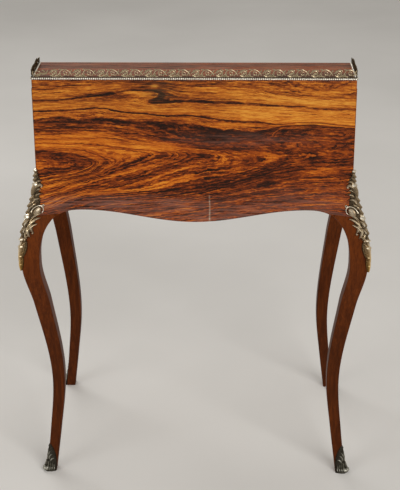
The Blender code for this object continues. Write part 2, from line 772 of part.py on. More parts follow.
def make_lopers():
    """The two slides under the bed, each with a knob and a wooden guide."""
    guide_front = -HALF_DEPTH + RAIL_THICK + JOINT_GAP
    guide_back = BACK_INNER_Y - GUIDE_BACK_GAP
    guide_bottom = DUST_BOARD_TOP + JOINT_GAP
    floor = LOPER_BOTTOM - JOINT_GAP
    half = LOPER_WIDTH / 2
    inner = half + LOPER_SIDE_GAP
    outer = inner + GUIDE_WALL
    grip = LOPER_BOTTOM + GUIDE_GRIP
    channel = [(-outer, guide_bottom), (outer, guide_bottom), (outer, grip), (inner, grip)]
    channel += [(inner, floor), (-inner, floor), (-inner, grip), (-outer, grip)]
    for side, sign in (("left", -1), ("right", 1)):
        x = sign * LOPER_X
        box(
            f"loper_{side}",
            (x - half, -HALF_DEPTH, LOPER_BOTTOM),
            (x + half, -HALF_DEPTH + LOPER_LENGTH, LOPER_TOP),
            PLAIN_WOOD,
        )
        seat = (x, -HALF_DEPTH - JOINT_GAP, (LOPER_BOTTOM + LOPER_TOP) / 2)
        make_knob(f"loper_knob_{side}", seat)
        name = f"loper_guide_{side}"
        curve = flat_curve(name, [channel], guide_back - guide_front)
        place(name, curve, PLAIN_WOOD, (x, (guide_front + guide_back) / 2, 0), FACING_FRONT)


def make_knob(name, seat):
    """A small turned knob, standing out to the front from its seat."""
    profile = [
        (0, KNOB_LENGTH),
        (0.55 * KNOB_RADIUS, 0.97 * KNOB_LENGTH),
        (KNOB_RADIUS, 0.72 * KNOB_LENGTH),
        (0.8 * KNOB_RADIUS, 0.45 * KNOB_LENGTH),
        (0.45 * KNOB_RADIUS, 0.28 * KNOB_LENGTH),
        (0.75 * KNOB_RADIUS, 0.1 * KNOB_LENGTH),
        (0.75 * KNOB_RADIUS, 0),
        (0, 0),
    ]
    turned(name, profile, BRASS, seat, FACING_FRONT)


def make_dust_board():
    """The thin board that closes the case underneath and carries the loper guides."""
    reach_x = POST_INNER_X - JOINT_GAP
    front = -HALF_DEPTH + RAIL_THICK + JOINT_GAP
    bottom = DUST_BOARD_TOP - DUST_BOARD_THICK
    box(
        "dust_board",
        (-reach_x, front, bottom),
        (reach_x, BACK_INNER_Y, DUST_BOARD_TOP),
        PLAIN_WOOD,
    )


def make_nest():
    """The fitted interior: a shelf, upright dividers, and three small drawers."""
    gap = JOINT_GAP
    box(
        "pigeonhole_shelf",
        (-SIDE_INNER_X, NEST_FRONT_Y, SHELF_BOTTOM),
        (SIDE_INNER_X, BACK_INNER_Y - gap, SHELF_TOP),
        INNER_WOOD,
    )
    for side, sign in (("left", -1), ("right", 1)):
        x = sign * DIVIDER_X
        box(
            f"drawer_divider_{side}",
            (x - NEST_BOARD / 2, NEST_FRONT_Y, WRITING_HEIGHT + gap),
            (x + NEST_BOARD / 2, BACK_INNER_Y - gap, SHELF_BOTTOM - gap),
            INNER_WOOD,
        )
        make_pigeonhole_divider(f"pigeonhole_divider_{side}", x)
    left_bay = (-SIDE_INNER_X, -DIVIDER_X - NEST_BOARD / 2)
    middle_bay = (-DIVIDER_X + NEST_BOARD / 2, DIVIDER_X - NEST_BOARD / 2)
    right_bay = (DIVIDER_X + NEST_BOARD / 2, SIDE_INNER_X)
    for side, bay in (("left", left_bay), ("middle", middle_bay), ("right", right_bay)):
        make_drawer(side, bay[0] + DRAWER_GAP, bay[1] - DRAWER_GAP)


def make_pigeonhole_divider(name, x):
    """An upright between pigeonholes, its front edge swept back in a hollow curve."""
    bottom = SHELF_TOP + JOINT_GAP
    top = CASE_CEILING - JOINT_GAP
    back = BACK_INNER_Y - JOINT_GAP
    low_front = NEST_FRONT_Y + PIGEON_SETBACK
    high_front = slope_y(CASE_CEILING) + PIGEON_CLEARANCE
    outline = [(back, bottom), (back, top)]
    for turn in np.linspace(0, math.pi / 2, 7):
        across = high_front - (high_front - low_front) * (1 - math.cos(turn))
        outline.append((across, top - (top - bottom) * math.sin(turn)))
    curve = flat_curve(name, [outline], PIGEON_BOARD)
    place(name, curve, INNER_WOOD, (x, 0, 0), FACING_SIDE)


def make_drawer(side, left, right):
    """A small drawer: its front, its open tray and its knob."""
    bottom = WRITING_HEIGHT + JOINT_GAP
    top = SHELF_BOTTOM - DRAWER_GAP
    front_back = NEST_FRONT_Y + DRAWER_FRONT_THICK
    box(
        f"drawer_front_{side}",
        (left, NEST_FRONT_Y, bottom),
        (right, front_back, top),
        INNER_WOOD,
    )
    low = Vector((left, front_back + JOINT_GAP, bottom))
    high = Vector((right, BACK_INNER_Y - TRAY_RELIEF, top - TRAY_RELIEF))
    shell = bmesh.new()
    bmesh.ops.create_cube(shell, size=1.0)
    bmesh.ops.scale(shell, vec=high - low, verts=shell.verts)
    lid = max(shell.faces, key=lambda face: face.calc_center_median().z)
    bmesh.ops.delete(shell, geom=[lid], context="FACES_ONLY")
    mesh = bpy.data.meshes.new(f"drawer_tray_{side}")
    shell.to_mesh(mesh)
    shell.free()
    tray = place(f"drawer_tray_{side}", mesh, PLAIN_WOOD, (low + high) / 2)
    walls = tray.modifiers.new("walls", "SOLIDIFY")
    walls.thickness = DRAWER_WALL
    walls.offset = -1
    walls.use_even_offset = True
    middle = ((left + right) / 2, NEST_FRONT_Y - JOINT_GAP, (bottom + top) / 2)
    make_knob(f"drawer_knob_{side}", middle)


def make_gallery():
    """A brass moulding round three edges of the shelf, with a pierced gallery on it."""
    base = TOP_HEIGHT + JOINT_GAP
    end_y = HALF_DEPTH - SHELF_DEPTH + GALLERY_SETBACK
    out_x = HALF_WIDTH + MOULDING_LIP
    out_y = HALF_DEPTH + MOULDING_LIP
    in_x = out_x - MOULDING_WIDTH
    in_y = out_y - MOULDING_WIDTH
    plan = [(-out_x, end_y), (-in_x, end_y), (-in_x, in_y), (in_x, in_y), (in_x, end_y)]
    plan += [(out_x, end_y), (out_x, out_y), (-out_x, out_y)]
    curve = flat_curve("gallery_moulding", [plan], MOULDING_HEIGHT)
    place("gallery_moulding", curve, BRASS, (0, 0, base + MOULDING_HEIGHT / 2))
    foot = base + MOULDING_HEIGHT + JOINT_GAP
    line_x = out_x - MOULDING_WIDTH / 2
    line_y = out_y - MOULDING_WIDTH / 2
    back = pierced_band("gallery_back", 2 * line_x + GALLERY_THICK)
    place("gallery_back", back, BRASS, (0, line_y, foot), FACING_FRONT)
    side_back = line_y - GALLERY_THICK / 2 - JOINT_GAP
    length = side_back - end_y
    for side, sign in (("left", -1), ("right", 1)):
        band = pierced_band(f"gallery_{side}", length)
        spot = (sign * line_x, side_back - length / 2, foot)
        place(f"gallery_{side}", band, BRASS, spot, FACING_SIDE)


def pierced_band(name, length):
    """A band with a wavy upper edge, pierced by a round and a leaning opening in every repeat."""
    repeats = max(1, round(length / GALLERY_REPEAT))
    pitch = length / repeats
    high = GALLERY_HEIGHT
    bar = 0.1 * high
    wave = 0.07 * high
    outline = [(-length / 2, 0), (length / 2, 0)]
    steps = 6 * repeats
    for i in range(steps, -1, -1):
        lift = high - wave + wave * math.sin(2 * math.pi * i / 6)
        outline.append((-length / 2 + length * i / steps, lift))
    openings = []
    for i in range(repeats):
        start = -length / 2 + i * pitch
        for centre, wide in ((0.26, 0.17), (0.74, 0.19)):
            tall = (high - 2 * wave - 2 * bar) / 2
            ring = []
            for turn in np.linspace(0, 2 * math.pi, 8, endpoint=False):
                lean = 0.12 * pitch * math.sin(turn)
                x = start + centre * pitch + wide * pitch * math.cos(turn) + lean
                ring.append((x, bar + tall + tall * math.sin(turn)))
            openings.append(ring)
    return flat_curve(name, [outline, *openings], GALLERY_THICK)


def main():
    pivot = bpy.data.objects.new("fall_pivot", None)
    pivot.location = (0, -HALF_DEPTH, WRITING_HEIGHT)
    pivot.rotation_euler = (FALL_ANGLE, 0, 0)
    PARTS.objects.link(pivot)
    make_back_panel()
    make_front_rail()
    make_side_panels()
    make_legs()
    make_mounts_and_shoes()
    make_top_board(pivot)
    make_writing_bed()
    make_fall(pivot)
    make_lock(pivot)
    make_hinges(pivot)
    make_lopers()
    make_dust_board()
    make_nest()
    make_gallery()
    print(f"slope of the closed fall {math.degrees(FALL_ANGLE):.3f} degrees")


main()
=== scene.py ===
# %% [markdown]
# # A lady's writing bureau
# The desk is seen from behind: a figured rosewood back, four cabriole legs, gilt brass on the knees
# and feet, and a pierced gallery round a shelf. The sloping fall, its lopers and the fitted inside
# are on the far side. The CAD frame fixes every size and joint, and this lesson dresses it.

# %% Load the frame
import json
import math

import bmesh
import bpy
import numpy as np
from mathutils import Matrix

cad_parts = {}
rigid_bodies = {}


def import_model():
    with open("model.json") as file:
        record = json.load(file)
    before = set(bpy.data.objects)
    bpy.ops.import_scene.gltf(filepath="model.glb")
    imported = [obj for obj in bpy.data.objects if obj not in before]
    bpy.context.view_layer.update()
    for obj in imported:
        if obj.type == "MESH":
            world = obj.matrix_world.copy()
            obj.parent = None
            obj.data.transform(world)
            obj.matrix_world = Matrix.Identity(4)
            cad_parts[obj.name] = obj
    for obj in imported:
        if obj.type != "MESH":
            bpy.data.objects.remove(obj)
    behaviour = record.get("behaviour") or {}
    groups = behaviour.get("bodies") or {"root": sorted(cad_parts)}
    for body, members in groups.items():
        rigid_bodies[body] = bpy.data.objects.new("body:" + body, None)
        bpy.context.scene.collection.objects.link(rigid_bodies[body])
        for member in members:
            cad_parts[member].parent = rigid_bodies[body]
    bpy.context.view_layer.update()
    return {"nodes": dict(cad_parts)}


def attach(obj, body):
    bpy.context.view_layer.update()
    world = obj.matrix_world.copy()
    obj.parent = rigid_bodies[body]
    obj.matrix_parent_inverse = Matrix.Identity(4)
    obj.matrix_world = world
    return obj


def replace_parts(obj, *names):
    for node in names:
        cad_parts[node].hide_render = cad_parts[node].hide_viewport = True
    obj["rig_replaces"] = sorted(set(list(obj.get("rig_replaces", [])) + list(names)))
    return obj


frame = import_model()

# %% [markdown]
# ## Sizes
# The pieces made here sit on CAD pieces, so they share the CAD's sizes, in metres. The case is a
# box with its corners at plus and minus half its width and depth. Heights are above the floor. The
# closed fall leans from the front edge of the bed to the front edge of the shelf.

# %% Shared sizes
HALF_WIDTH = 0.335
HALF_DEPTH = 0.201
WRITING_HEIGHT = 0.740
TOP_HEIGHT = 0.934
POST_SIZE = 0.0364
APRON_CROWN = 0.648
KNEE_HEIGHT = 0.536
LEG_TOP = 0.7217
BOARD_THICK = 0.016
RAIL_THICK = 0.018
LOPER_X = 0.2776
GAP = 0.0003
FALL_RUN, FALL_RISE, FALL_THICK = 0.262, 0.194, 0.018
FALL_REACH = math.hypot(FALL_RUN, FALL_RISE)
FALL_ANGLE = math.acos(FALL_THICK / FALL_REACH) - math.atan2(FALL_RUN, FALL_RISE)
FALL_LENGTH = math.sqrt(FALL_REACH**2 - FALL_THICK**2)
print(f"fall: {math.degrees(FALL_ANGLE):.2f} degrees, {FALL_LENGTH * 1000:.1f} mm long")

# %% [markdown]
# ## The camera
# The photograph's straight edges and feet give the lens and the place of the camera: it stood
# behind the desk at a standing person's eye height, looking down 23 degrees. The lens length comes
# from the picture's height in pixels, because the frame is upright.

# %% Camera
FOCAL_PIXELS, PICTURE_PIXELS = 1288.5, 490
camera_data = bpy.data.cameras.new("photo_camera")
camera_data.sensor_fit = "VERTICAL"
camera_data.sensor_height = 36.0
camera_data.lens = 36.0 * FOCAL_PIXELS / PICTURE_PIXELS
camera = bpy.data.objects.new("photo_camera", camera_data)
turn = Matrix.Rotation(math.radians(181.124), 4, "Z")
tilt = Matrix.Rotation(math.radians(90 - 23.016), 4, "X")
roll = Matrix.Rotation(math.radians(-0.186), 4, "Z")
camera.matrix_world = Matrix.Translation((-0.0619, 2.7683, 1.6572)) @ turn @ tilt @ roll
bpy.context.scene.collection.objects.link(camera)
bpy.context.scene.camera = camera
bpy.context.scene.view_settings.view_transform = "Standard"
print(f"lens {camera_data.lens:.1f} mm")

# %% [markdown]
# ## Colours and nodes
# Colours are written as sRGB hex, as a colour picker shows them, and Blender's shaders work in
# linear light, so one function converts them. Another adds a node with its settings and links.


# %% Helpers for materials
def linear(hex_colour):
    """sRGB hex to linear: below 0.04045 a straight line, above it a power of 2.4."""
    srgb = np.array([int(hex_colour[i : i + 2], 16) / 255 for i in (1, 3, 5)])
    curve = np.where(srgb <= 0.04045, srgb / 12.92, ((srgb + 0.055) / 1.055) ** 2.4)
    return (*curve.tolist(), 1.0)


def plug(tree, node, links):
    """Gives inputs of a node, by name or in order, a value or another node's output."""
    for key, value in links.items() if isinstance(links, dict) else enumerate(links):
        if isinstance(value, bpy.types.NodeSocket):
            tree.links.new(value, node.inputs[key])
        else:
            node.inputs[key].default_value = value


def add(tree, kind, links=(), stops=(), out=0, **settings):
    """Adds a node and returns one of its outputs, or all of them where out is None.

    Settings are its attributes. Stops are the (place, hex or grey) pairs of a colour ramp; the
    first two reuse the ramp's own.
    """
    node = tree.nodes.new("ShaderNode" + kind)
    for key, value in settings.items():
        setattr(node, key, value)
    plug(tree, node, links)
    for i, (place, tone) in enumerate(stops):
        element = node.color_ramp.elements[i] if i < 2 else node.color_ramp.elements.new(place)
        element.position = place
        element.color = linear(tone) if isinstance(tone, str) else (tone, tone, tone, 1.0)
    return node.outputs if out is None else node.outputs[out]


def new_material(name, roughness, metallic=0.0, **sockets):
    """A material with its Principled shader; uniform values go straight onto its sockets."""
    material = bpy.data.materials.new(name)
    material.use_nodes = True
    shader = material.node_tree.nodes["Principled BSDF"]
    named = {socket.replace("_", " "): value for socket, value in sockets.items()}
    uniform = {"Roughness": roughness, "Metallic": metallic, **named}
    plug(material.node_tree, shader, uniform)
    return material, material.node_tree, shader


print(f"mid grey #808080 is {linear('#808080')[0]:.3f} in linear light")

# %% [markdown]
# ## Rosewood veneer
# Brazilian rosewood is an oily orange-brown wood with ink-dark growth lines. Sliced veneer shows
# those lines as bands that run along the plank, swell round knots and close into flames. A picture
# would be one way to make it. Here each point has a ring number, as in a tree: points of one number
# lie on one growth line, and a ramp gives each ring its lightness. Noise that is stretched along
# the lines adds streaks and pores. The wax finish is thin, so it shines less than bare lacquer.

# %% Tones of the rings
# Lightness of each ring from 0 to 1, above the flame in the back and below it.
RING_COUNT = 13
RINGS_ABOVE = (
    (0, 0.46), (1, 0.16), (1.25, 0.54), (1.9, 0.60), (2, 0.24), (2.2, 0.62), (2.7, 0.72), (3, 0.34),
    (3.2, 0.72), (4, 0.58), (4.2, 0.68), (4.6, 0.50), (5, 0.34), (5.3, 0.28), (5.6, 0.34),
    (5.9, 0.22), (6.15, 0.20), (6.25, 0.66), (6.82, 0.68), (6.94, 0.18), (7.08, 0.20), (7.2, 0.68),
    (8, 0.80), (9.78, 0.70), (9.93, 0.20), (10.08, 0.20), (10.26, 0.62), (11, 0.78), (11.8, 0.72),
    (12, 0.46), (12.3, 0.52), (13, 0.44),
)
RINGS_BELOW = (
    (0, 0.46), (0.5, 0.22), (0.8, 0.52), (1, 0.16), (1.3, 0.56), (1.6, 0.28), (2, 0.20),
    (2.25, 0.62), (2.6, 0.36), (3, 0.28), (3.25, 0.64), (3.6, 0.36), (4, 0.28), (4.3, 0.66),
    (4.6, 0.36), (4.85, 0.66), (5.05, 0.60), (5.3, 0.28), (5.7, 0.26), (6, 0.20), (6.4, 0.44),
    (6.8, 0.24), (7.2, 0.48), (7.6, 0.26), (8, 0.46), (8.5, 0.28), (9, 0.48), (9.5, 0.30),
    (10, 0.44), (13, 0.38),
)
ROSEWOOD_TONES = (
    (0.00, "#1f0e06"), (0.16, "#3f1c09"), (0.34, "#6d3110"), (0.52, "#9c4f16"), (0.72, "#c57422"),
    (0.94, "#dd9a3c"),
)
print(f"{len(RINGS_ABOVE)} tones above the flame, {len(RINGS_BELOW)} below it")


# %% Hills and noise
def hill_sum(tree, place, hills, start):
    """Adds rise * exp(-distance^2) for each hill to start, distance in half-lengths."""
    total = start
    for along, across, long_half, high_half, rise in hills:
        centre, shrink = (along, 0.0, across), (1 / long_half, 0.0, 1 / high_half)
        away = add(tree, "VectorMath", (place, centre), operation="SUBTRACT")
        scaled = add(tree, "VectorMath", (away, shrink), operation="MULTIPLY")
        square = add(tree, "VectorMath", (scaled, scaled), out="Value", operation="DOT_PRODUCT")
        fall = add(tree, "Math", (square, -1.0), operation="MULTIPLY")
        hill = add(tree, "Math", (fall,), operation="EXPONENT")
        total = add(tree, "Math", (hill, rise, total), operation="MULTIPLY_ADD")
    return total


def stretched_noise(tree, across, up, scale, detail):
    """Noise on a plane of two sockets, each with its own scale per unit; 0 to 1, about 0.5."""
    flat = add(tree, "CombineXYZ", {0: across, 2: up})
    place = add(tree, "VectorMath", (flat, (scale[0], 1.0, scale[1])), operation="MULTIPLY")
    fine = {"Vector": place, "Scale": 1.0, "Detail": detail, "Roughness": 0.6}
    return add(tree, "TexNoise", fine, out="Fac")


def nudge(tree, noise, weight, start):
    """start + weight * (noise - 0.5)."""
    centred = add(tree, "Math", (noise, 0.5), operation="SUBTRACT")
    return add(tree, "Math", (centred, weight, start), operation="MULTIPLY_ADD")


print("hills and noise ready")

# %% [markdown]
# ## From ring to tone
# The ring number alone gives clean bands. The real ones hold streaks, ink lines and pores, each at
# its own size, so they are added as layers of noise whose long side follows the growth lines.


# %% Bands, ripples and streaks
def ring_tone(tree, ring, below):
    """Lightness from the two ramps of rings, mixed by the share that lies below the flame."""
    share = add(tree, "Math", (ring, float(RING_COUNT)), operation="DIVIDE")
    sides = {"Factor": below}
    for side, rings in ((2, RINGS_ABOVE), (3, RINGS_BELOW)):
        stops = [(number / RING_COUNT, light) for number, light in rings]
        sides[side] = add(tree, "ValToRGB", (share,), stops)
    return add(tree, "Mix", sides, data_type="FLOAT")


def rippled(tree, along, ring, below, tone):
    """Below the flame, fine ripples lie four to the ring, 6 mm apart, and fade along the plank."""
    turns = add(tree, "Math", (ring, 8 * math.pi), operation="MULTIPLY")
    ripple = add(tree, "Math", (turns,), operation="SINE")
    fade = {"Value": along, "From Max": 0.2, "To Min": 0.15, "To Max": 0.04}
    depth = add(tree, "MapRange", fade)
    deep = add(tree, "Math", (below, depth), operation="MULTIPLY")
    return add(tree, "Math", (ripple, deep, tone), operation="MULTIPLY_ADD")


def streaked(tree, along, height, ring, tone):
    """Adds streaks, weaker in the pale bands, and takes away ink lines and pores."""
    streaks = 0.0
    # Streaks 10 mm apart, lines 4 mm apart and fibres under 1 mm, all along the growth lines.
    for scale, weight in (((4.0, 1.6), 0.36), ((7.0, 4.6), 0.9), ((16.0, 13.0), 0.8)):
        streaks = nudge(tree, stretched_noise(tree, along, ring, scale, 3.0), weight, streaks)
    # The knife leaves straight streaks too, 1 mm to 4 mm high.
    for scale, weight in (((9.0, 330.0), 0.55), ((30.0, 240.0), 0.95), ((90.0, 420.0), 0.8)):
        streaks = nudge(tree, stretched_noise(tree, along, height, scale, 2.0), weight, streaks)
    # The pale bands are cleaner wood, with weaker streaks than the dark ones.
    span = {"Value": tone, "From Min": 0.5, "From Max": 0.72, "To Min": 1.0, "To Max": 0.6}
    clean = add(tree, "MapRange", span)
    tone = add(tree, "Math", (streaks, clean, tone), operation="MULTIPLY_ADD")
    # Ink lines, and pores as long as a grain of rice.
    for scale, low, high, depth in (
        ((11.0, 6.0), 0.36, 0.44, 0.26),
        ((9.0, 10.0), 0.38, 0.45, 0.26),
        ((150.0, 30.0), 0.3, 0.38, 0.2),
    ):
        lines = stretched_noise(tree, along, ring, scale, 2.0)
        span = {"Value": lines, "From Min": low, "From Max": high, "To Min": -depth, "To Max": 0.0}
        dark = add(tree, "MapRange", span)
        tone = add(tree, "Math", (tone, dark), operation="ADD")
    return tone


print("bands, ripples and streaks ready")

# %% [markdown]
# ## From tone to finished veneer
# A ramp turns lightness into the colours of rosewood. The lower boards are tinted redder and
# darker, and veils of smoke, dust, painted sheen and painted shade lie on top: each is a colour and
# the hills where it shows.


# %% Tint, veils and painted light
def stains_and_painted_light(tree, plank, along, height, tone, veils):
    """Colour of a tone, redder lower down, under veils: smoke, dust in a crack, painted sheen and
    shade.
    """
    colour = add(tree, "ValToRGB", (tone,), ROSEWOOD_TONES)
    # Lower down the colour is multiplied by a pale orange, so the lower boards are redder and
    # darker than the top ones.
    red = add(tree, "MapRange", {"Value": height, "From Min": 0.89, "From Max": 0.80})
    tint = {"Factor": red, 6: colour, 7: linear("#ffe6bc")}
    colour = add(tree, "Mix", tint, out=2, data_type="RGBA", blend_type="MULTIPLY")
    for veil_colour, veil_hills in veils:
        stain_and_painted_light_mask = hill_sum(tree, plank, veil_hills, 0.0)
        # Each veil lies in streaks along the grain.
        patchy = stretched_noise(tree, along, height, (14.0, 260.0), 3.0)
        streaky = add(tree, "MapRange", {"Value": patchy, "From Min": 0.36, "From Max": 0.62})
        strong = add(tree, "Math", (stain_and_painted_light_mask, streaky), operation="MULTIPLY")
        veil = {"Factor": strong, 6: colour, 7: linear(veil_colour)}
        colour = add(tree, "Mix", veil, out=2, data_type="RGBA")
    return colour


print(f"{len(ROSEWOOD_TONES)} tones of rosewood under the wax")

# %% A sheet of veneer
# 43 rings to the metre, one every 23 mm of plain-sawn plank.
RINGS_PER_METRE, RING_AT_FLOOR = 43.0, -27.5
TONE_LIFT = 0.03


def rosewood_veneer(
    name, plank_turn, plank_shift=(0, 0, 0), hills=None, patches=(), veils=(), shine=0.3
):
    """Veneer on a plank whose length lies along X and whose width lies along Z after a turn.

    Without hills, the ring numbers come from the piece's own UV map: U is the ring, and V is 1
    below the flame. With hills, the ring is the height on the plank, bent by the hills.
    """
    material, tree, shader = new_material(
        name, 0.4, Specular_IOR_Level=shine, Coat_Weight=0.05 * shine, Coat_Roughness=0.2
    )
    spot = add(tree, "TexCoord", out=None)
    laid = {"Vector": spot["Object"], "Rotation": plank_turn, "Location": plank_shift}
    plank = add(tree, "Mapping", laid)
    split = add(tree, "SeparateXYZ", (plank,), out=None)
    along, height = split["X"], split["Z"]
    below = 0.0
    if hills is None:
        figure = add(tree, "SeparateXYZ", (spot["UV"],), out=None)
        ring, below = figure["X"], figure["Y"]
    else:
        scale = (hill_sum(tree, plank, hills, height), RINGS_PER_METRE, RING_AT_FLOOR)
        ring = add(tree, "Math", scale, operation="MULTIPLY_ADD")
    # The lines wander, by about 3 mm over 70 mm and by 1 mm over 12 mm.
    for scale, detail, weight in (((14.0, 45.0), 3.0, 0.34), ((80.0, 160.0), 2.0, 0.3)):
        ring = nudge(tree, stretched_noise(tree, along, height, scale, detail), weight, ring)
    tone = ring_tone(tree, ring, below)
    if hills is None:
        tone = rippled(tree, along, ring, below, tone)
    # Patches raise and lower the tone; on the back some are the wood's own tone and some are
    # painted light and painted shade.
    tone = hill_sum(tree, plank, patches, tone)
    tone = add(tree, "Math", (tone, TONE_LIFT), operation="ADD")
    tone = streaked(tree, along, height, ring, tone)
    colour = stains_and_painted_light(tree, plank, along, height, tone, veils)
    gloss = add(tree, "MapRange", {"Value": tone, "To Min": 0.5, "To Max": 0.34})
    uneven = add(tree, "Bump", {"Height": tone, "Strength": 0.15, "Distance": 0.0004})
    plug(tree, shader, {"Base Color": colour, "Roughness": gloss, "Normal": uneven})
    return material


print(f"one ring every {1000 / RINGS_PER_METRE:.0f} mm where no figure is drawn")

# %% Veneers of the sides, front, fall and shelf
HALF_TURN = math.pi
side_veneer = rosewood_veneer("rosewood_side_veneer", (0, 0, -HALF_TURN / 2))
PLAIN_HILLS = ((-0.25, 0.70, 0.20, 0.05, 0.05), (0.20, 0.75, 0.20, 0.06, -0.03))
front_veneer = rosewood_veneer("rosewood_front_veneer", (0, 0, 0), (0.1, 0, 0.02), PLAIN_HILLS)
FALL_HILLS = ((-0.10, 0.76, 0.22, 0.06, 0.06), (0.30, 0.85, 0.16, 0.05, -0.04))
fall_turn = (HALF_TURN / 2 - FALL_ANGLE, 0, 0)
fall_veneer = rosewood_veneer("rosewood_fall_veneer", fall_turn, (0, 0, 0.30), FALL_HILLS)
# A pale pinkish veil over the shelf is a painted reflection, and a dark band along the gallery's
# foot is painted shade.
SHELF_SHEEN_AND_SHADE = (
    ("#98664e", ((0.0, 0.6, 9.0, 9.0, 0.9),)),
    ("#281c15", ((0.0, 0.765, 9.0, 0.048, 1.1),)),
)
SHELF_SHADE = ((0.0, 0.6, 9.0, 9.0, -0.16),)
shelf_veneer = rosewood_veneer(
    "rosewood_shelf_veneer",
    (HALF_TURN / 2, 0, 0),
    (0, 0, 0.56),
    PLAIN_HILLS,
    SHELF_SHADE,
    SHELF_SHEEN_AND_SHADE,
    0.08,
)
print("veneers of the sides, front, fall and shelf made")

# %% [markdown]
# ## The veneer of the back
# The back has darker and lighter places between the growth lines, partly the wood's own tone and
# partly painted light and painted shade, a smoky knot, a painted grey sheen along the bottom and a
# pale crack at the apron. Each is a soft hill in a table: along, height, half-length and
# half-height in metres, then the change of lightness or the strength of the veil.

# %% Back veneer
# Darker and lighter places: partly the wood's own tone, partly painted light and painted shade.
BACK_TONES_AND_PAINTED_LIGHT = (
    (-0.066, 0.911, 0.030, 0.017, -0.16), (-0.130, 0.9095, 0.035, 0.005, 0.20),
    (0.136, 0.8926, 0.010, 0.0016, -0.50), (0.188, 0.8254, 0.005, 0.003, -0.45),
    (-0.104, 0.922, 0.040, 0.008, -0.40), (-0.200, 0.895, 0.130, 0.034, -0.16),
    (-0.020, 0.895, 0.080, 0.030, -0.24), (-0.172, 0.901, 0.060, 0.008, -0.26),
    (-0.081, 0.922, 0.008, 0.004, 0.75), (-0.105, 0.902, 0.024, 0.006, 0.20),
    (0.110, 0.715, 0.100, 0.028, -0.14), (0.030, 0.728, 0.060, 0.016, -0.10),
    (0.076, 0.812, 0.090, 0.018, -0.22), (-0.200, 0.824, 0.140, 0.010, 0.12),
    (0.240, 0.800, 0.070, 0.030, 0.05), (0.270, 0.720, 0.090, 0.040, 0.08),
    (0.180, 0.868, 0.150, 0.026, 0.08), (-0.100, 0.786, 0.060, 0.014, 0.14),
    (-0.260, 0.796, 0.100, 0.018, 0.08), (0.285, 0.908, 0.050, 0.022, 0.14),
    (-0.040, 0.848, 0.055, 0.012, -0.22), (0.126, 0.834, 0.030, 0.010, -0.18),
    (-0.038, 0.774, 0.035, 0.012, -0.14), (0.139, 0.756, 0.035, 0.014, -0.22),
    (0.262, 0.745, 0.035, 0.010, 0.22), (-0.305, 0.709, 0.040, 0.010, 0.24),
    (-0.315, 0.671, 0.025, 0.016, 0.20), (0.300, 0.673, 0.035, 0.012, 0.18),
)
KNOT_SMOKE = ((-0.068, 0.910, 0.030, 0.022, 0.95),)
# A pinkish-grey veil along the bottom and across the middle of the back: a painted reflection.
PAINTED_GREY_SHEEN = (
    (-0.150, 0.664, 0.170, 0.014, 0.7), (-0.290, 0.656, 0.050, 0.016, 0.5),
    (0.100, 0.806, 0.130, 0.014, 0.4), (0.080, 0.635, 0.320, 0.026, 0.7),
    (0.240, 0.670, 0.120, 0.030, 0.4),
)
CRACK_DUST = (
    (0.0320, 0.670, 0.0012, 0.010, 0.9), (0.0328, 0.651, 0.0013, 0.013, 1.1),
    (0.0323, 0.632, 0.0015, 0.012, 1.2), (0.0326, 0.620, 0.0040, 0.003, 1.3),
)
BACK_VEILS = (("#4c3520", KNOT_SMOKE), ("#8c6052", PAINTED_GREY_SHEEN), ("#b59c86", CRACK_DUST))
back_veneer = rosewood_veneer(
    "rosewood_back_veneer", (0, 0, HALF_TURN), (0, 0, 0), None, BACK_TONES_AND_PAINTED_LIGHT, BACK_VEILS, 0.16
)
print(f"back veneer made, with {len(BACK_TONES_AND_PAINTED_LIGHT)} patches")

# %% [markdown]
# ## Solid rosewood
# The legs are sawn from the solid, so their grain runs straight up through the curve and the saw
# cuts across it. Noise stretched along Z does just that. Rubbed polish leaves them redder than the
# veneer, and their darker tone is partly polish and partly painted shade. The lighter wood towards
# the knee is a painted highlight.


# %% Straight grain
def spread(tones):
    """Ramp stops for tones at even places from 0 to 1."""
    return list(zip(np.linspace(0, 1, len(tones)).tolist(), tones))


def straight_grain(
    name, tones, stretch, roughness, shine=0.5, lip=None, fade=None, metallic=0.0
):
    """Grain along one axis: noise squeezed across it, read as a ramp of tones.

    A lip is a strip of another wood: a coordinate, its axis, the value below which it lies, and
    its tones. A fade lightens the wood from one height to another by a share of the ramp.
    """
    material, tree, shader = new_material(name, roughness, metallic, Specular_IOR_Level=shine)
    spot = add(tree, "TexCoord", out=None)
    total = 0.5
    for times, weight in ((1.0, 0.9), (4.0, 0.5), (14.0, 0.35)):
        near = (spot["Object"], tuple(size * times for size in stretch))
        squeezed = add(tree, "VectorMath", near, operation="MULTIPLY")
        fine = {"Vector": squeezed, "Scale": 1.0, "Detail": 4.0, "Roughness": 0.6}
        total = nudge(tree, add(tree, "TexNoise", fine, out="Fac"), weight, total)
    if fade:
        place = add(tree, "SeparateXYZ", (spot["Object"],), out="Z")
        span = {"Value": place, "From Min": fade[0], "From Max": fade[1], "To Max": fade[2]}
        total = add(tree, "Math", (total, add(tree, "MapRange", span)), operation="ADD")
    colour = add(tree, "ValToRGB", (total,), spread(tones))
    if lip:
        source, axis, limit, lip_tones = lip
        place = add(tree, "SeparateXYZ", (spot[source],), out=axis)
        share = add(tree, "Math", (place, limit), operation="LESS_THAN")
        strip_colour = add(tree, "ValToRGB", (total,), spread(lip_tones))
        blend = {"Factor": share, 6: colour, 7: strip_colour}
        colour = add(tree, "Mix", blend, out=2, data_type="RGBA")
    ridges = add(tree, "Bump", {"Height": total, "Strength": 0.1, "Distance": 0.0004})
    plug(tree, shader, {"Base Color": colour, "Normal": ridges})
    return material


print("straight grain ready")
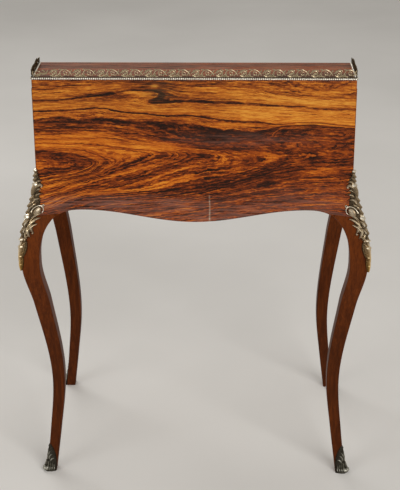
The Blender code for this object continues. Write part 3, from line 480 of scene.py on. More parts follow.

# %% [markdown]
# ## Woods of the legs and the inside
# The legs have growth lines 6 to 8 mm apart across and about 150 mm long. The inside is waxed
# satinwood with edges and bands of rosewood 7 mm wide, and what nobody sees is bare oak. A rosewood
# face hides the end of each loper when it is pushed in.

# %% Solid woods
# The leg tones are darker than the veneer's, partly painted shade.
LEG_TONES = ("#210c04", "#4b220b", "#703612")
SATIN_TONES = ("#7d5426", "#b08345", "#d0a666")
BAND_TONES = ("#2a1006", "#5a2a10", "#8a461a")
OAK_TONES = ("#6b4c2b", "#9c7848", "#b8935f")
LEG_GRAIN, SATIN_GRAIN, OAK_GRAIN = (130, 130, 6), (5, 120, 120), (90, 5, 90)
# The fade lightens the legs towards the knee: a painted highlight.
leg_wood = straight_grain(
    "rosewood_solid_polished", LEG_TONES, LEG_GRAIN, 0.42, 0.06, fade=(0.3, 0.62, 0.3)
)
satinwood = straight_grain("satinwood_waxed", SATIN_TONES, SATIN_GRAIN, 0.38, 0.4)
bed_lip = ("Object", "Y", -0.194, BAND_TONES)
bed_wood = straight_grain("satinwood_lipped", SATIN_TONES, SATIN_GRAIN, 0.42, 0.2, bed_lip)
drawer_band = ("UV", "X", 0.007, BAND_TONES)
drawer_wood = straight_grain("satinwood_banded", SATIN_TONES, SATIN_GRAIN, 0.38, 0.4, drawer_band)
oak = straight_grain("oak_bare", OAK_TONES, OAK_GRAIN, 0.62)
loper_face = ("Object", "Y", -0.196, BAND_TONES)
loper_wood = straight_grain("oak_faced", OAK_TONES, OAK_GRAIN, 0.55, 0.4, loper_face)
print("solid woods made")

# %% [markdown]
# ## Brass and steel
# The mounts are cast, chased and once gilt. A century of wax and dirt has left brown in the hollows
# and rubbed the crests bright. Each casting carries a relief value at its points, low in the
# hollows and high on the crests, and the metal reads it. Lock and hinges are filed or brushed one
# way, so they take the straight grain of the woods as metal.


# %% Metals
def aged_brass(name, crest, flank, hollow, roughness, warm=None):
    """Metal that darkens and roughens in the hollows of a casting, and may yellow lower down."""
    material, tree, shader = new_material(name, roughness, 1.0)
    height = add(tree, "Attribute", out="Fac", attribute_name="relief")
    spot = add(tree, "TexCoord", out="Object")
    # Patches of tarnish about 3 mm across.
    fine = {"Vector": spot, "Scale": 330.0, "Detail": 4.0, "Roughness": 0.6}
    tarnish = add(tree, "TexNoise", fine, out="Fac")
    worn = nudge(tree, tarnish, 0.5, height)
    colour = add(tree, "ValToRGB", (worn,), ((0.0, hollow), (0.45, flank), (0.9, crest)))
    if warm:
        low, high, tint = warm
        up = add(tree, "SeparateXYZ", (spot,), out="Z")
        span = {"Value": up, "From Min": low, "From Max": high, "To Min": 1.0, "To Max": 0.0}
        blend = {"Factor": add(tree, "MapRange", span), 6: colour, 7: linear(tint)}
        colour = add(tree, "Mix", blend, out=2, data_type="RGBA", blend_type="MULTIPLY")
    span = {"Value": worn, "To Min": roughness + 0.3, "To Max": roughness}
    pits = add(tree, "Bump", {"Height": tarnish, "Strength": 0.15, "Distance": 0.0003})
    dull = add(tree, "MapRange", span)
    plug(tree, shader, {"Base Color": colour, "Roughness": dull, "Normal": pits})
    return material


mount_brass = aged_brass(
    "gilt_brass_aged", "#fbf1dc", "#988468", "#261d14", 0.28, (0.53, 0.60, "#ffe2a4")
)
gallery_brass = aged_brass("gallery_brass_aged", "#b4a283", "#66543b", "#150e08", 0.3)
# The side galleries get a darker copy of the gallery brass: painted shade on their inner faces.
side_gallery_painted_shade_brass = aged_brass("gallery_brass_painted_shade", "#9a8a68", "#4e402a", "#120c07", 0.36)
moulding_brass = aged_brass("moulding_brass_rubbed", "#fdf7ea", "#f0e8d8", "#6c5d4a", 0.26)
shoe_brass = aged_brass("shoe_brass_dark", "#a6a397", "#5e5a50", "#241f18", 0.36)
fitting_brass = aged_brass("fitting_brass_lacquered", "#d3b670", "#b08d4c", "#5a421f", 0.26)
STEEL_TONES, HINGE_TONES = ("#5c5a57", "#85827c", "#a8a59f"), ("#8a6f3c", "#b39556", "#cdb47c")
FILE_MARKS = (400, 40, 40)
steel = straight_grain("lock_steel_filed", STEEL_TONES, FILE_MARKS, 0.4, metallic=1.0)
hinge_brass = straight_grain("hinge_brass_brushed", HINGE_TONES, FILE_MARKS, 0.34, metallic=1.0)
print("metals made")

# %% [markdown]
# ## Tooled hide
# The writing surface is a dyed hide with gold lines pressed into it along the edges. They could be
# thin meshes, but gold leaf has no thickness to speak of. Here the hide knows how far each point
# lies from its edge, and narrow ranges of that distance turn to gold.

# %% Hide
# One turn of the plait every 12 mm, 5 mm wide, between lines at set distances from the edge.
PLAIT_TURN, PLAIT_SWING, PLAIT_MIDDLE, PLAIT_HALF = 0.012, 0.0026, 0.0145, 0.0005
GOLD_LINES = ((0.006, 0.0005), (0.009, 0.0003), (0.020, 0.0003))


def tooled_hide(name, half_wide, half_long):
    """Dyed hide with gold tooling: lines at set distances from the edge and a plaited band.

    The UV map gives metres from the middle. Two sine waves of opposite phase make the plait.
    """
    material, tree, shader = new_material(name, 0.55, Specular_IOR_Level=0.12)
    spot = add(tree, "TexCoord", out="UV")
    place = add(tree, "SeparateXYZ", (spot,), out=None)
    inset = []
    for axis, half in (("X", half_wide), ("Y", half_long)):
        size = add(tree, "Math", (place[axis],), operation="ABSOLUTE")
        inset.append(add(tree, "Math", (half, size), operation="SUBTRACT"))
    edge = add(tree, "Math", inset, operation="MINIMUM")
    nearer = add(tree, "Math", inset, operation="LESS_THAN")
    run = {"Factor": nearer, 2: place["X"], 3: place["Y"]}
    along = add(tree, "Mix", run, data_type="FLOAT")
    phase = add(tree, "Math", (along, 2 * math.pi / PLAIT_TURN), operation="MULTIPLY")
    wave = add(tree, "Math", (phase,), operation="SINE")
    lines = list(GOLD_LINES)
    for swing in (PLAIT_SWING, -PLAIT_SWING):
        path = (wave, swing, PLAIT_MIDDLE)
        lines.append((add(tree, "Math", path, operation="MULTIPLY_ADD"), PLAIT_HALF))
    gold = 0.0
    for middle, half in lines:
        line = add(tree, "Math", (edge, middle, half), operation="COMPARE")
        gold = add(tree, "Math", (gold, line), operation="MAXIMUM")
    fine = {"Vector": spot, "Scale": 700.0, "Detail": 3.0, "Roughness": 0.6}
    grain = add(tree, "TexNoise", fine, out="Fac")
    tones = ((0.3, "#34110b"), (0.5, "#561d13"), (0.7, "#6c2c1b"))
    hide = add(tree, "ValToRGB", (grain,), tones)
    blend = {"Factor": gold, 6: hide, 7: linear("#c9a24a")}
    colour = add(tree, "Mix", blend, out=2, data_type="RGBA")
    pebbles = add(tree, "Bump", {"Height": grain, "Strength": 0.3, "Distance": 0.0003})
    plug(tree, shader, {"Base Color": colour, "Metallic": gold, "Normal": pebbles})
    return material


HIDE_BORDER = 0.050
LEATHER_HALF = (0.287, FALL_LENGTH / 2 - HIDE_BORDER)
leather = tooled_hide("hide_gold_tooled", *LEATHER_HALF)
print(f"hide made, {LEATHER_HALF[0] * 2000:.0f} by {LEATHER_HALF[1] * 2000:.1f} mm")

# %% [markdown]
# ## Building surfaces
# Each new piece is one or more grids of points. A grid whose columns close on themselves is a tube;
# its two ends get a cap. A casting collects many such grids into one mesh, with a relief value for
# each point.


# %% Surface helpers
def grid_faces(rows, columns, closed):
    """Quads over a grid of points, row by row; a closed grid joins its last column to its first."""
    across = np.arange(columns if closed else columns - 1)
    row = np.arange(rows - 1)[:, None]
    here = row * columns + across
    beside = row * columns + (across + 1) % columns
    return np.stack([here, beside, beside + columns, here + columns], -1).reshape(-1, 4)


class Casting:
    """Gathers grids of points into one mesh."""

    def __init__(self):
        self.points = []
        self.faces = []
        self.relief = []
        self.count = 0

    def add(self, grid, relief=0.7, closed=True, caps=True):
        """Adds a (rows, columns, 3) grid, closed round its columns and capped at both ends."""
        rows, columns = grid.shape[:2]
        faces = (grid_faces(rows, columns, closed) + self.count).tolist()
        if caps:
            first = np.arange(columns) + self.count
            faces += [first[::-1].tolist(), (first + (rows - 1) * columns).tolist()]
        self.points.append(grid.reshape(-1, 3))
        self.relief.append(np.broadcast_to(relief, (rows, columns)).reshape(-1))
        self.faces += faces
        self.count += rows * columns

    def piece(self, name, material, body, slot, nodes=(), sharp=40):
        """Makes the mesh, points its faces outwards, and joins it to the frame."""
        mesh = bpy.data.meshes.new(name)
        mesh.from_pydata(np.concatenate(self.points).tolist(), [], self.faces)
        attribute = mesh.attributes.new("relief", "FLOAT", "POINT")
        attribute.data.foreach_set("value", np.concatenate(self.relief).astype(np.float32))
        shape = bmesh.new()
        shape.from_mesh(mesh)
        bmesh.ops.remove_doubles(shape, verts=shape.verts, dist=1e-6)
        bmesh.ops.dissolve_degenerate(shape, edges=shape.edges, dist=1e-7)
        bmesh.ops.recalc_face_normals(shape, faces=shape.faces)
        shape.to_mesh(mesh)
        shape.free()
        mesh.shade_smooth()
        mesh.set_sharp_from_angle(angle=math.radians(sharp))
        mesh.materials.append(material)
        obj = bpy.data.objects.new(name, mesh)
        bpy.context.scene.collection.objects.link(obj)
        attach(obj, body)
        if nodes:
            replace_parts(obj, *nodes)
        print(f"{name}: {len(mesh.polygons)} faces")
        return obj


print(f"a closed grid of 3 by 4 points has {len(grid_faces(3, 4, True))} faces")


# %% Slabs
def slab(outline, low, high, ease=0.0005):
    """A flat outline carried through a thickness, its two rims rounded by a quarter circle.

    At an angle a on the rim the outline is drawn in by ease * (1 - sin a), at a depth of
    ease * (1 - cos a) from the face. Returns points as (ring, place, [across, depth, up]).
    """
    ahead = np.roll(outline, -1, 0) - outline
    ahead /= np.linalg.norm(ahead, axis=1, keepdims=True)
    inward = np.stack([-ahead[:, 1], ahead[:, 0]], 1)
    before = np.roll(inward, 1, 0)
    mitre = (inward + before) / (1 + (inward * before).sum(1, keepdims=True))
    angles = np.linspace(0, np.pi / 2, 4)
    draw = ease * (1 - np.sin(angles))
    depth = ease * (1 - np.cos(angles))
    draws = np.concatenate([draw, draw[::-1]])[:, None, None]
    depths = np.concatenate([low + depth, high - depth[::-1]])[:, None]
    flat = outline[None] + draws * mitre[None]
    deep = np.broadcast_to(depths, flat.shape[:2])
    return np.stack([flat[..., 0], deep, flat[..., 1]], -1)


unit_square = np.array([(0.0, 0.0), (1.0, 0.0), (1.0, 1.0), (0.0, 1.0)])
print(f"a slab has {len(slab(unit_square, 0, 1))} rings of points")

# %% [markdown]
# ## The floor and the light
# A plain pale floor keeps the desk's own shadow. Two large soft lamps stand on the camera's side, a
# third lights the front, and the world fills in, at a level where a colour shows about as it is
# written. Stronger lamps would wash the veneer out; weaker ones would hide the carving.

# %% Floor
FLOOR_HALF, FLOOR_DROP = 60.0, -0.0005
floor_finish, floor_tree, floor_shader = new_material("studio_paper", 0.9)
floor_spot = add(floor_tree, "TexCoord", out="Object")
# The paper is clouded in patches 0.7 m wide.
clouds = {"Vector": floor_spot, "Scale": 1.4, "Detail": 3.0}
fibre = add(floor_tree, "TexNoise", clouds, out="Fac")
paper = add(floor_tree, "ValToRGB", (fibre,), ((0.3, "#dcd9d4"), (0.7, "#e4e1dc")))
plug(floor_tree, floor_shader, {"Base Color": paper})
edge = np.array([-FLOOR_HALF, FLOOR_HALF])
floor_grid = np.stack(np.broadcast_arrays(edge[:, None], edge[None, :], FLOOR_DROP), -1)
floor_mesh = bpy.data.meshes.new("studio_floor")
floor_mesh.from_pydata(floor_grid.reshape(-1, 3).tolist(), [], [(0, 2, 3, 1)])
floor_mesh.materials.append(floor_finish)
floor = bpy.data.objects.new("studio_floor", floor_mesh)
bpy.context.scene.collection.objects.link(floor)
print(f"floor {2 * FLOOR_HALF:.0f} m wide")

# %% Light
world = bpy.data.worlds.new("studio_world")
bpy.context.scene.world = world
world.use_nodes = True
sky = {"Color": linear("#f4f1ec"), "Strength": 0.45}
plug(world.node_tree, world.node_tree.nodes["Background"], sky)


def soft_lamp(name, place, aim, size, power):
    """A rectangular lamp at a place, turned to face a point."""
    data = bpy.data.lights.new(name, "AREA")
    data.shape = "RECTANGLE"
    data.size, data.size_y = size
    data.energy = power
    lamp = bpy.data.objects.new(name, data)
    gaze = np.array(aim) - np.array(place)
    lamp.location = place
    pan = math.atan2(gaze[1], gaze[0]) - math.pi / 2
    lamp.rotation_euler = (math.atan2(math.hypot(*gaze[:2]), -gaze[2]), 0, pan)
    bpy.context.scene.collection.objects.link(lamp)


soft_lamp("key_lamp", (-1.8, 3.2, 2.8), (0, 0, 0.7), (2.2, 1.6), 75)
soft_lamp("fill_lamp", (2.6, 2.4, 1.8), (0, 0, 0.6), (1.8, 1.8), 22)
soft_lamp("front_lamp", (1.4, -2.4, 3.6), (0, 0, 0.7), (2.2, 1.6), 45)
print("lamps ready")

# %% [markdown]
# ## The veneered case
# Back, sides and front apron are boards about 16 mm thick, sawn to a serpentine lower edge that
# runs into the arch of each leg. They could be cut with Booleans. Carrying the outline through the
# board's thickness gives clean edges, and a slight rounding catches the light as rubbed veneer
# does.

# %% Apron outline
# The arch starts this far in from the corner of the case, and spans this much of it.
ARCH_REACH, ARCH_SPAN = 0.0958, 0.0943


def arch_height(out):
    """Height of the superellipse arch between apron and leg, at an offset from the case corner."""
    share = np.clip((out + ARCH_REACH) / ARCH_SPAN, 0, 1)
    return KNEE_HEIGHT + (APRON_CROWN - KNEE_HEIGHT) * (1 - share**2.5) ** 0.4


def apron_edge(half_length, drop):
    """Lower edge of an apron: half a cosine wave each side of the middle, then the arch."""
    crown = half_length - ARCH_REACH
    middle = np.linspace(0, crown, 70)
    wave = APRON_CROWN - drop * (1 + np.cos(np.pi * middle / crown)) / 2
    reach = np.linspace(crown, half_length - POST_SIZE - GAP, 24)[1:]
    across = np.concatenate([middle, reach])
    up = np.concatenate([wave, arch_height(reach - half_length)])
    return np.column_stack(
        [np.concatenate([-across[:0:-1], across]), np.concatenate([up[:0:-1], up])]
    )


back_edge = apron_edge(HALF_WIDTH, 0.0275)
side_edge = apron_edge(HALF_DEPTH, 0.012)
print(f"apron of the back hangs to {back_edge[:, 1].min() * 1000:.0f} mm above the floor")

# %% Case boards
CEILING = TOP_HEIGHT - RAIL_THICK - GAP
NOTCH_X = HALF_WIDTH - POST_SIZE - GAP
NOTCH_Y = HALF_DEPTH - POST_SIZE - GAP
NOTCH_Z = LEG_TOP + GAP
back_rest = [(NOTCH_X, NOTCH_Z), (HALF_WIDTH, NOTCH_Z), (HALF_WIDTH, CEILING)]
back_rest += [(-x, z) for x, z in back_rest[::-1]]
back = Casting()
back.add(slab(np.vstack([back_edge, back_rest]), HALF_DEPTH - BOARD_THICK, HALF_DEPTH))
back.piece("back_groundwork", leg_wood, "case", "rosewood_veneer", ["back_panel"])

MOUTH_HALF, MOUTH_FOOT = 0.0093, 0.6764
mouth = np.array([(MOUTH_HALF, LEG_TOP), (MOUTH_HALF, MOUTH_FOOT)])
mouth = np.vstack([mouth, mouth[::-1] * (-1, 1)])
rail_rest = np.vstack(
    [[(NOTCH_X, LEG_TOP)], mouth + (LOPER_X, 0), mouth - (LOPER_X, 0), [(-NOTCH_X, LEG_TOP)]]
)
rail = Casting()
rail.add(slab(np.vstack([back_edge, rail_rest]), -HALF_DEPTH, -HALF_DEPTH + RAIL_THICK))
rail.piece("front_apron", front_veneer, "case", "rosewood_veneer", ["front_rail"])

SIDE_BACK_Y = HALF_DEPTH - BOARD_THICK - GAP
slope_top = -HALF_DEPTH + (CEILING + GAP - WRITING_HEIGHT) / math.tan(FALL_ANGLE)
side_rest = [(NOTCH_Y, NOTCH_Z), (SIDE_BACK_Y, NOTCH_Z), (SIDE_BACK_Y, CEILING)]
side_rest += [(slope_top, CEILING), (-HALF_DEPTH, WRITING_HEIGHT - GAP)]
side_rest += [(-HALF_DEPTH, NOTCH_Z), (-NOTCH_Y, NOTCH_Z)]
flat = slab(np.vstack([side_edge, side_rest]), HALF_WIDTH - BOARD_THICK, HALF_WIDTH)
SIDES = (("left", -1), ("right", 1))
for side, sign in SIDES:
    end = Casting()
    end.add(np.stack([sign * flat[..., 1], flat[..., 0], flat[..., 2]], -1))
    node = f"side_panel_{side}"
    end.piece(f"side_groundwork_{side}", leg_wood, "case", "rosewood_veneer", [node])

# %% [markdown]
# ## The legs
# A cabriole leg bows out at the knee, in at the ankle and out again at the foot. Its section is a
# square with eased corners. A smooth curve through a few measured places gives the outer corner at
# each height, and the inner corner follows at the thickness of the leg, then runs up the arch.
# Above the knee the outer faces lean back until they are flush with the case.


# %% Smooth curves
def smooth_through(stations, at):
    """A cubic Hermite curve through (place, value) stations, with slopes from their neighbours."""
    place, value = np.array(stations, float).T
    slope = np.gradient(value, place)
    i = np.clip(np.searchsorted(place, at) - 1, 0, len(place) - 2)
    width = place[i + 1] - place[i]
    t = np.clip((at - place[i]) / width, 0, 1)
    start = (2 * t**3 - 3 * t**2 + 1) * value[i] + (t**3 - 2 * t**2 + t) * width * slope[i]
    end = (3 * t**2 - 2 * t**3) * value[i + 1] + (t**3 - t**2) * width * slope[i + 1]
    return start + end


halfway = smooth_through(((0, 0), (1, 1), (2, 0)), np.array([0.5]))[0]
print(f"halfway up to a peak of 1 the curve is at {halfway:.3f}")

# %% Leg curves
LEG_STATIONS = (
    (0.0, 0.0115), (0.0995, 0.0), (0.22, -0.0096), (0.43, 0.0178), (KNEE_HEIGHT, 0.0378),
    (0.600, 0.031), (0.680, 0.0075), (0.720, 0.0), (0.722, 0.0), (0.7564, 0.0),
)
# Thickness at the foot and what the knee adds to it; the rounding of the corners; and how far
# below the apron's crown the faces reach their full lean.
FOOT_SIZE, KNEE_SWELL, LEG_EASE, LEAN_STOP = 0.0225, 0.0168, 0.003, 0.012


def leg_offset(z):
    """How far the leg's outer corner stands out from the corner of the case, each way."""
    return smooth_through(LEG_STATIONS, z)


def leg_inner(z):
    """Offset of the inner corner: a taper from foot to knee, then the arch, then the post."""
    taper = leg_offset(z) - (FOOT_SIZE + KNEE_SWELL * np.clip(z / KNEE_HEIGHT, 0, 1) ** 1.4)
    share = np.clip((z - KNEE_HEIGHT) / (APRON_CROWN - KNEE_HEIGHT), 0, 1)
    arch = np.maximum(-ARCH_REACH + ARCH_SPAN * (1 - share**2.5) ** 0.4, -POST_SIZE)
    return np.where(z <= KNEE_HEIGHT, taper, arch)


def face_lean(z):
    """Fall of an outer face towards the case, per metre from the ridge: 0 up to the knee."""
    share = np.clip((z - KNEE_HEIGHT) / (APRON_CROWN - LEAN_STOP - KNEE_HEIGHT), 0, 1)
    return share * leg_offset(z) / (leg_offset(z) + POST_SIZE)


def leg_section(z):
    """Four corners, each turned by a parabola from the edge before it to the edge after it."""
    outer, inner, lean = leg_offset(z), leg_inner(z), face_lean(z)
    side = outer - lean * (outer - inner)
    one, none = np.ones_like(z), np.zeros_like(z)
    shape = (len(z), 4, 1, 2)
    corner = np.stack([outer, outer, inner, side, inner, inner, side, inner], -1).reshape(shape)
    back = np.stack([-lean, -one, one, lean, none, one, -one, none], -1).reshape(shape)
    ahead = np.stack([-one, -lean, none, -one, one, none, lean, one], -1).reshape(shape)
    t = np.linspace(0, 1, 6)[:, None]
    turned = corner + LEG_EASE * ((1 - t) ** 2 * back + t**2 * ahead)
    u = np.array([0.25, 0.5, 0.75])[:, None]
    edge = turned[:, :, -1:] * (1 - u) + np.roll(turned, -1, 1)[:, :, :1] * u
    return np.concatenate([turned, edge], 2).reshape(len(z), -1, 2)


print(f"ankle stands {leg_offset(np.array([0.22]))[0] * 1000:.1f} mm out from the case")

# %% Legs
VENEER_FOOT = 0.638
leg_z = np.concatenate(
    [
        np.linspace(0, KNEE_HEIGHT, 90),
        KNEE_HEIGHT + (APRON_CROWN - KNEE_HEIGHT) * np.sin(np.linspace(0.03, 1.35, 50)),
        np.linspace(APRON_CROWN, LEG_TOP, 20),
    ]
)
leg_flat = leg_section(leg_z)
tall = np.broadcast_to(leg_z[:, None], leg_flat.shape[:2])
CORNERS = [
    (f"{depth}_{side}", sign_x, sign_y)
    for depth, sign_y in (("front", -1), ("back", 1))
    for side, sign_x in SIDES
]
for corner, sign_x, sign_y in CORNERS:
    leg = Casting()
    across = sign_x * (HALF_WIDTH + leg_flat[..., 0])
    leg.add(np.stack([across, sign_y * (HALF_DEPTH + leg_flat[..., 1]), tall], -1))
    made = leg.piece(f"cabriole_{corner}", leg_wood, "case", "rosewood_solid", [f"leg_{corner}"])
    if sign_y < 0:
        # The veneer of the front apron runs on over the front of the post.
        made.data.materials.append(front_veneer)
        count = len(made.data.polygons)
        middle, normal = np.empty(count * 3), np.empty(count * 3)
        made.data.polygons.foreach_get("center", middle)
        made.data.polygons.foreach_get("normal", normal)
        veneered = (middle[2::3] > VENEER_FOOT) & (normal[1::3] < -0.6)
        made.data.polygons.foreach_set("material_index", veneered.astype(np.int32))

# %% [markdown]
# ## The figure of the back
# The figure of the back is laid out as growth lines: each row of the table is a ring number and the
# places in millimetres that its line passes. A thin-plate spline, the curve that a bent sheet of
# metal takes through pins, spreads the ring numbers over the sheet.

# %% Growth lines
GROWTH_LINES = (
    (13, ((-334, 936), (-236, 936), (-133, 936), (-20, 936), (93, 936), (217, 936), (334, 936))),
    (12, (
        (-334, 917), (-277, 918), (-194, 924), (-143, 927), (-22, 923), (38, 921), (124, 918),
        (169, 906), (231, 898), (291, 893), (334, 893),
    )),
    (10, ((-334, 889), (-279, 891), (-233, 897), (-207, 900), (-170, 907), (-137, 912))),
    (10, (
        (-75, 898), (-88, 887), (-61, 887), (-28, 890), (3, 889), (23, 887), (60, 886), (124, 883),
        (186, 879), (225, 878), (291, 873), (334, 872),
    )),
    (10.3, ((-92, 914), (-65, 910))),
    (11, ((-40, 910), (11, 904))),
    (9.4, ((-157, 897), (-112, 901), (-88, 903))),
    (7, (
        (-334, 868), (-279, 869), (-233, 872), (-203, 874), (-180, 872), (-166, 868), (-143, 865),
        (-102, 862), (-22, 859), (9, 857), (38, 852), (83, 846), (141, 844), (186, 840), (245, 843),
        (305, 838), (334, 836),
    )),
    (6.2, (
        (-334, 848), (-233, 850), (-139, 850), (-67, 844), (-30, 841), (-1, 835), (23, 832),
        (50, 829), (77, 828), (124, 826), (151, 829), (175, 835), (188, 837), (245, 840),
        (305, 835), (334, 833),
    )),
    (5, (
        (-334, 824), (-266, 825), (-188, 823), (-157, 819), (-102, 809), (-53, 799), (9, 790),
        (83, 782), (124, 778), (151, 775), (169, 769), (151, 757), (132, 749), (93, 737), (28, 726),
        (-44, 713), (-67, 701), (-112, 693), (-184, 686), (-240, 681), (-272, 671), (-309, 655),
    )),
    (4, (
        (-334, 807), (-277, 809), (-194, 807), (-133, 798), (-92, 793), (-20, 783), (28, 773),
        (1, 763), (-30, 751), (-71, 736), (-112, 721), (-153, 709), (-205, 697), (-256, 685),
        (-305, 671),
    )),
    (3, (
        (-334, 797), (-256, 798), (-194, 794), (-143, 788), (-92, 783), (-53, 775), (-81, 763),
        (-112, 751), (-174, 731), (-215, 719), (-266, 704), (-322, 686),
    )),
    (2, (
        (-334, 788), (-277, 786), (-242, 782), (-215, 774), (-189, 762), (-181, 752), (-195, 745),
        (-227, 726), (-277, 713), (-324, 702),
    )),
    (1, (
        (-334, 780), (-279, 777), (-248, 772), (-223, 765), (-207, 753), (-222, 741), (-248, 731),
        (-293, 723), (-326, 716),
    )),
    (0.2, ((-330, 758), (-277, 755), (-248, 749), (-277, 740), (-330, 736))),
    (5.3, ((217, 776), (278, 774), (334, 774))),
    (5.6, ((217, 801), (278, 798), (334, 797))),
    (6, (
        (-301, 642), (-262, 648), (-233, 654), (-203, 662), (-143, 670), (-102, 675), (-30, 683),
        (21, 692), (83, 709), (124, 722), (165, 734), (217, 744), (278, 749), (334, 751),
    )),
    (7, (
        (334, 725), (278, 722), (217, 716), (155, 704), (93, 691), (32, 678), (-30, 666),
        (-92, 658), (-153, 651),
    )),
    (8, (
        (334, 695), (278, 693), (217, 688), (155, 679), (93, 669), (32, 657), (-30, 646),
        (-81, 637),
    )),
    (9, ((334, 664), (278, 663), (217, 660), (155, 653), (93, 643), (21, 630))),
    (10, ((334, 633), (217, 630), (124, 624))),
)
FLAME_AXIS = (
    (-334, 748), (-205, 752), (-180, 758), (-52, 780), (28, 780), (170, 778), (334, 770),
)
print(f"{sum(len(line) for _, line in GROWTH_LINES)} pins on {len(GROWTH_LINES)} growth lines")

# %% Rings over the sheet
# Heights count 2.5 times as much as lengths, because the figure is drawn out along the plank.
UPRIGHT_WEIGHT = 2.5
SLACK = 2e-5


def ring_field(along, height):
    """Thin-plate spline through the growth lines: a plane plus weights times d^2 log d^2."""
    numbers = np.concatenate([np.full(len(line), number) for number, line in GROWTH_LINES])
    pins = np.concatenate([np.array(line, float) for _, line in GROWTH_LINES])
    pins = pins * (0.001, 0.001 * UPRIGHT_WEIGHT)

    def bend(a, b):
        square = ((a[:, None] - b[None]) ** 2).sum(-1)
        return square * np.log(square + 1e-12)

    count = len(pins)
    plane = np.column_stack([np.ones(count), pins])
    top_rows = np.hstack([bend(pins, pins) + SLACK * np.eye(count), plane])
    system = np.vstack([top_rows, np.hstack([plane.T, np.zeros((3, 3))])])
    weights = np.linalg.solve(system, np.concatenate([numbers, np.zeros(3)]))
    at = np.column_stack([along.ravel(), UPRIGHT_WEIGHT * height.ravel()])
    rings = bend(at, pins) @ weights[:count] + weights[count] + at @ weights[count + 1 :]
    return rings.reshape(along.shape)


knot = ring_field(np.array([-0.075]), np.array([0.898]))[0]
print(f"the line under the knot is ring {knot:.1f}")

# %% [markdown]
# ## The veneer sheets
# The back and sides are faced after the case is glued up, so one sheet runs over the board, the
# edge of the shelf and both leg posts, and no joint shows. Each sheet is a grid with the ring
# numbers as its UV map, and a Solidify modifier gives it the thickness of a veneer.

# %% Sheets
SHEET_PROUD = 0.0008


def sheet_surface(half_length, edge, top, columns, rows):
    """A sheet over one face of the case, as along, out and height grids.

    Columns are spread along the face and rows from the lower edge to the top. Over a post the
    columns stretch to the leg's ridge, and the sheet stands out as far as the leaning face does.
    """
    base = np.linspace(-half_length, half_length, columns)
    post = half_length - POST_SIZE
    foot = np.interp(base, edge[:, 0], edge[:, 1])
    foot = np.where(np.abs(base) > half_length - ARCH_REACH, np.maximum(foot, VENEER_FOOT), foot)
    z = foot + (top(base) - foot) * np.linspace(0, 1, rows)[:, None]
    out = leg_offset(z)
    # The sheet stops 0.4 mm short of the ridge, and 2.2 mm short of it under the mounts.
    margin = 0.0004 + 0.0018 * np.clip((0.735 - z) / 0.02, 0, 1)
    stretch = (POST_SIZE + out - margin) / POST_SIZE
    along = np.sign(base) * np.where(
        np.abs(base) < post, np.abs(base), post + (np.abs(base) - post) * stretch
    )
    proud = out - face_lean(z) * (half_length + out - np.abs(along))
    return along, np.where(np.abs(base) < post, 0.0, proud) + SHEET_PROUD, z


def lay_sheet(
    name, grid, figure, material, body="case", slot="rosewood_veneer", thick=0.0006, nodes=()
):
    """Makes an open sheet with its figure as a UV map, given thickness towards the board."""
    sheet = Casting()
    sheet.add(grid, closed=False, caps=False)
    obj = sheet.piece(name, material, body, slot, nodes)
    mesh = obj.data
    corners = np.empty(len(mesh.loops), np.int32)
    mesh.loops.foreach_get("vertex_index", corners)
    uv = mesh.uv_layers.new(name="figure")
    uv.data.foreach_set("uv", figure.reshape(-1, 2)[corners].astype(np.float32).ravel())
    depth = obj.modifiers.new("thickness", "SOLIDIFY")
    depth.thickness = thick
    depth.offset = -1
    return obj


def side_top(y):
    """Top of a side: level at the back, and along the slope of the fall in front."""
    slope = WRITING_HEIGHT - GAP + (y + HALF_DEPTH) * math.tan(FALL_ANGLE)
    return np.minimum(CEILING, slope)


print(f"sheets stand {SHEET_PROUD * 1000:.1f} mm proud of the boards")

# %% Sheets on the back and sides
BACK_TOP = 0.9338
along, out, height = sheet_surface(HALF_WIDTH, back_edge, lambda x: BACK_TOP + 0 * x, 300, 120)
axis = np.interp(along, *(np.array(FLAME_AXIS) / 1000).T)
under = np.clip((axis - height) / 0.012 + 0.5, 0, 1)
figure = np.stack([ring_field(along, height), under], -1)
lay_sheet("back_veneer", np.stack([-along, HALF_DEPTH + out, height], -1), figure, back_veneer)

# The sides have a plainer figure: sloping rings that swell round one place near the front.
along, out, height = sheet_surface(HALF_DEPTH, side_edge, side_top, 160, 100)
swell = 2.2 * np.exp(-(((along + 0.12) / 0.14) ** 2 + ((height - 0.72) / 0.05) ** 2))
rings = 2.0 + 34 * (height - 0.64) + 5 * along + swell
figure = np.stack([rings, np.clip((0.74 - height) / 0.02, 0, 1)], -1)
for side, sign in SIDES:
    grid = np.stack([sign * (HALF_WIDTH + out), along, height], -1)
    lay_sheet(f"side_veneer_{side}", grid, figure, side_veneer)

# %% [markdown]
# ## Strips on a corner
# The mounts are cast as one sheet of leaves, scrolls and beads that wraps the leg's outer corner.
# Sculpting would do it. Here every leaf is a strip along a path on an unrolled corner: a runs away
# from the ridge along a face, s runs down from the top, and h stands out from the wood. A soft fold
# then wraps the flat design round the ridge.


# %% Paths and strips
def bowed(base, tip, bend, rows):
    """A path from base to tip, bowed sideways by a parabola of bend times its length."""
    base, tip = np.array(base, float), np.array(tip, float)
    t = np.linspace(0, 1, rows)[:, None]
    side = np.array([tip[1] - base[1], base[0] - tip[0]])
    return base + (tip - base) * t + side * bend * 4 * t * (1 - t)


def spiral(centre, radius, start, sweep, inner, rows):
    """A path round a centre, from start degrees through sweep degrees, shrinking to inner."""
    t = np.linspace(0, 1, rows)
    angle = np.radians(start + sweep * t)
    reach = radius * (1 - (1 - inner) * t)
    return np.stack([centre[0] + reach * np.cos(angle), centre[1] + reach * np.sin(angle)], 1)


def swept(path, half, columns):
    """Points out to both sides of a path, by cos(angle) times half; returns them and the angles."""
    along = np.gradient(path, axis=0)
    along /= np.linalg.norm(along, axis=1, keepdims=True) + 1e-12
    side = np.stack([-along[:, 1], along[:, 0]], 1)
    angle = np.linspace(0, 2 * np.pi, columns, endpoint=False)
    return path[:, None] + side[:, None] * (np.cos(angle) * half[:, None])[..., None], angle


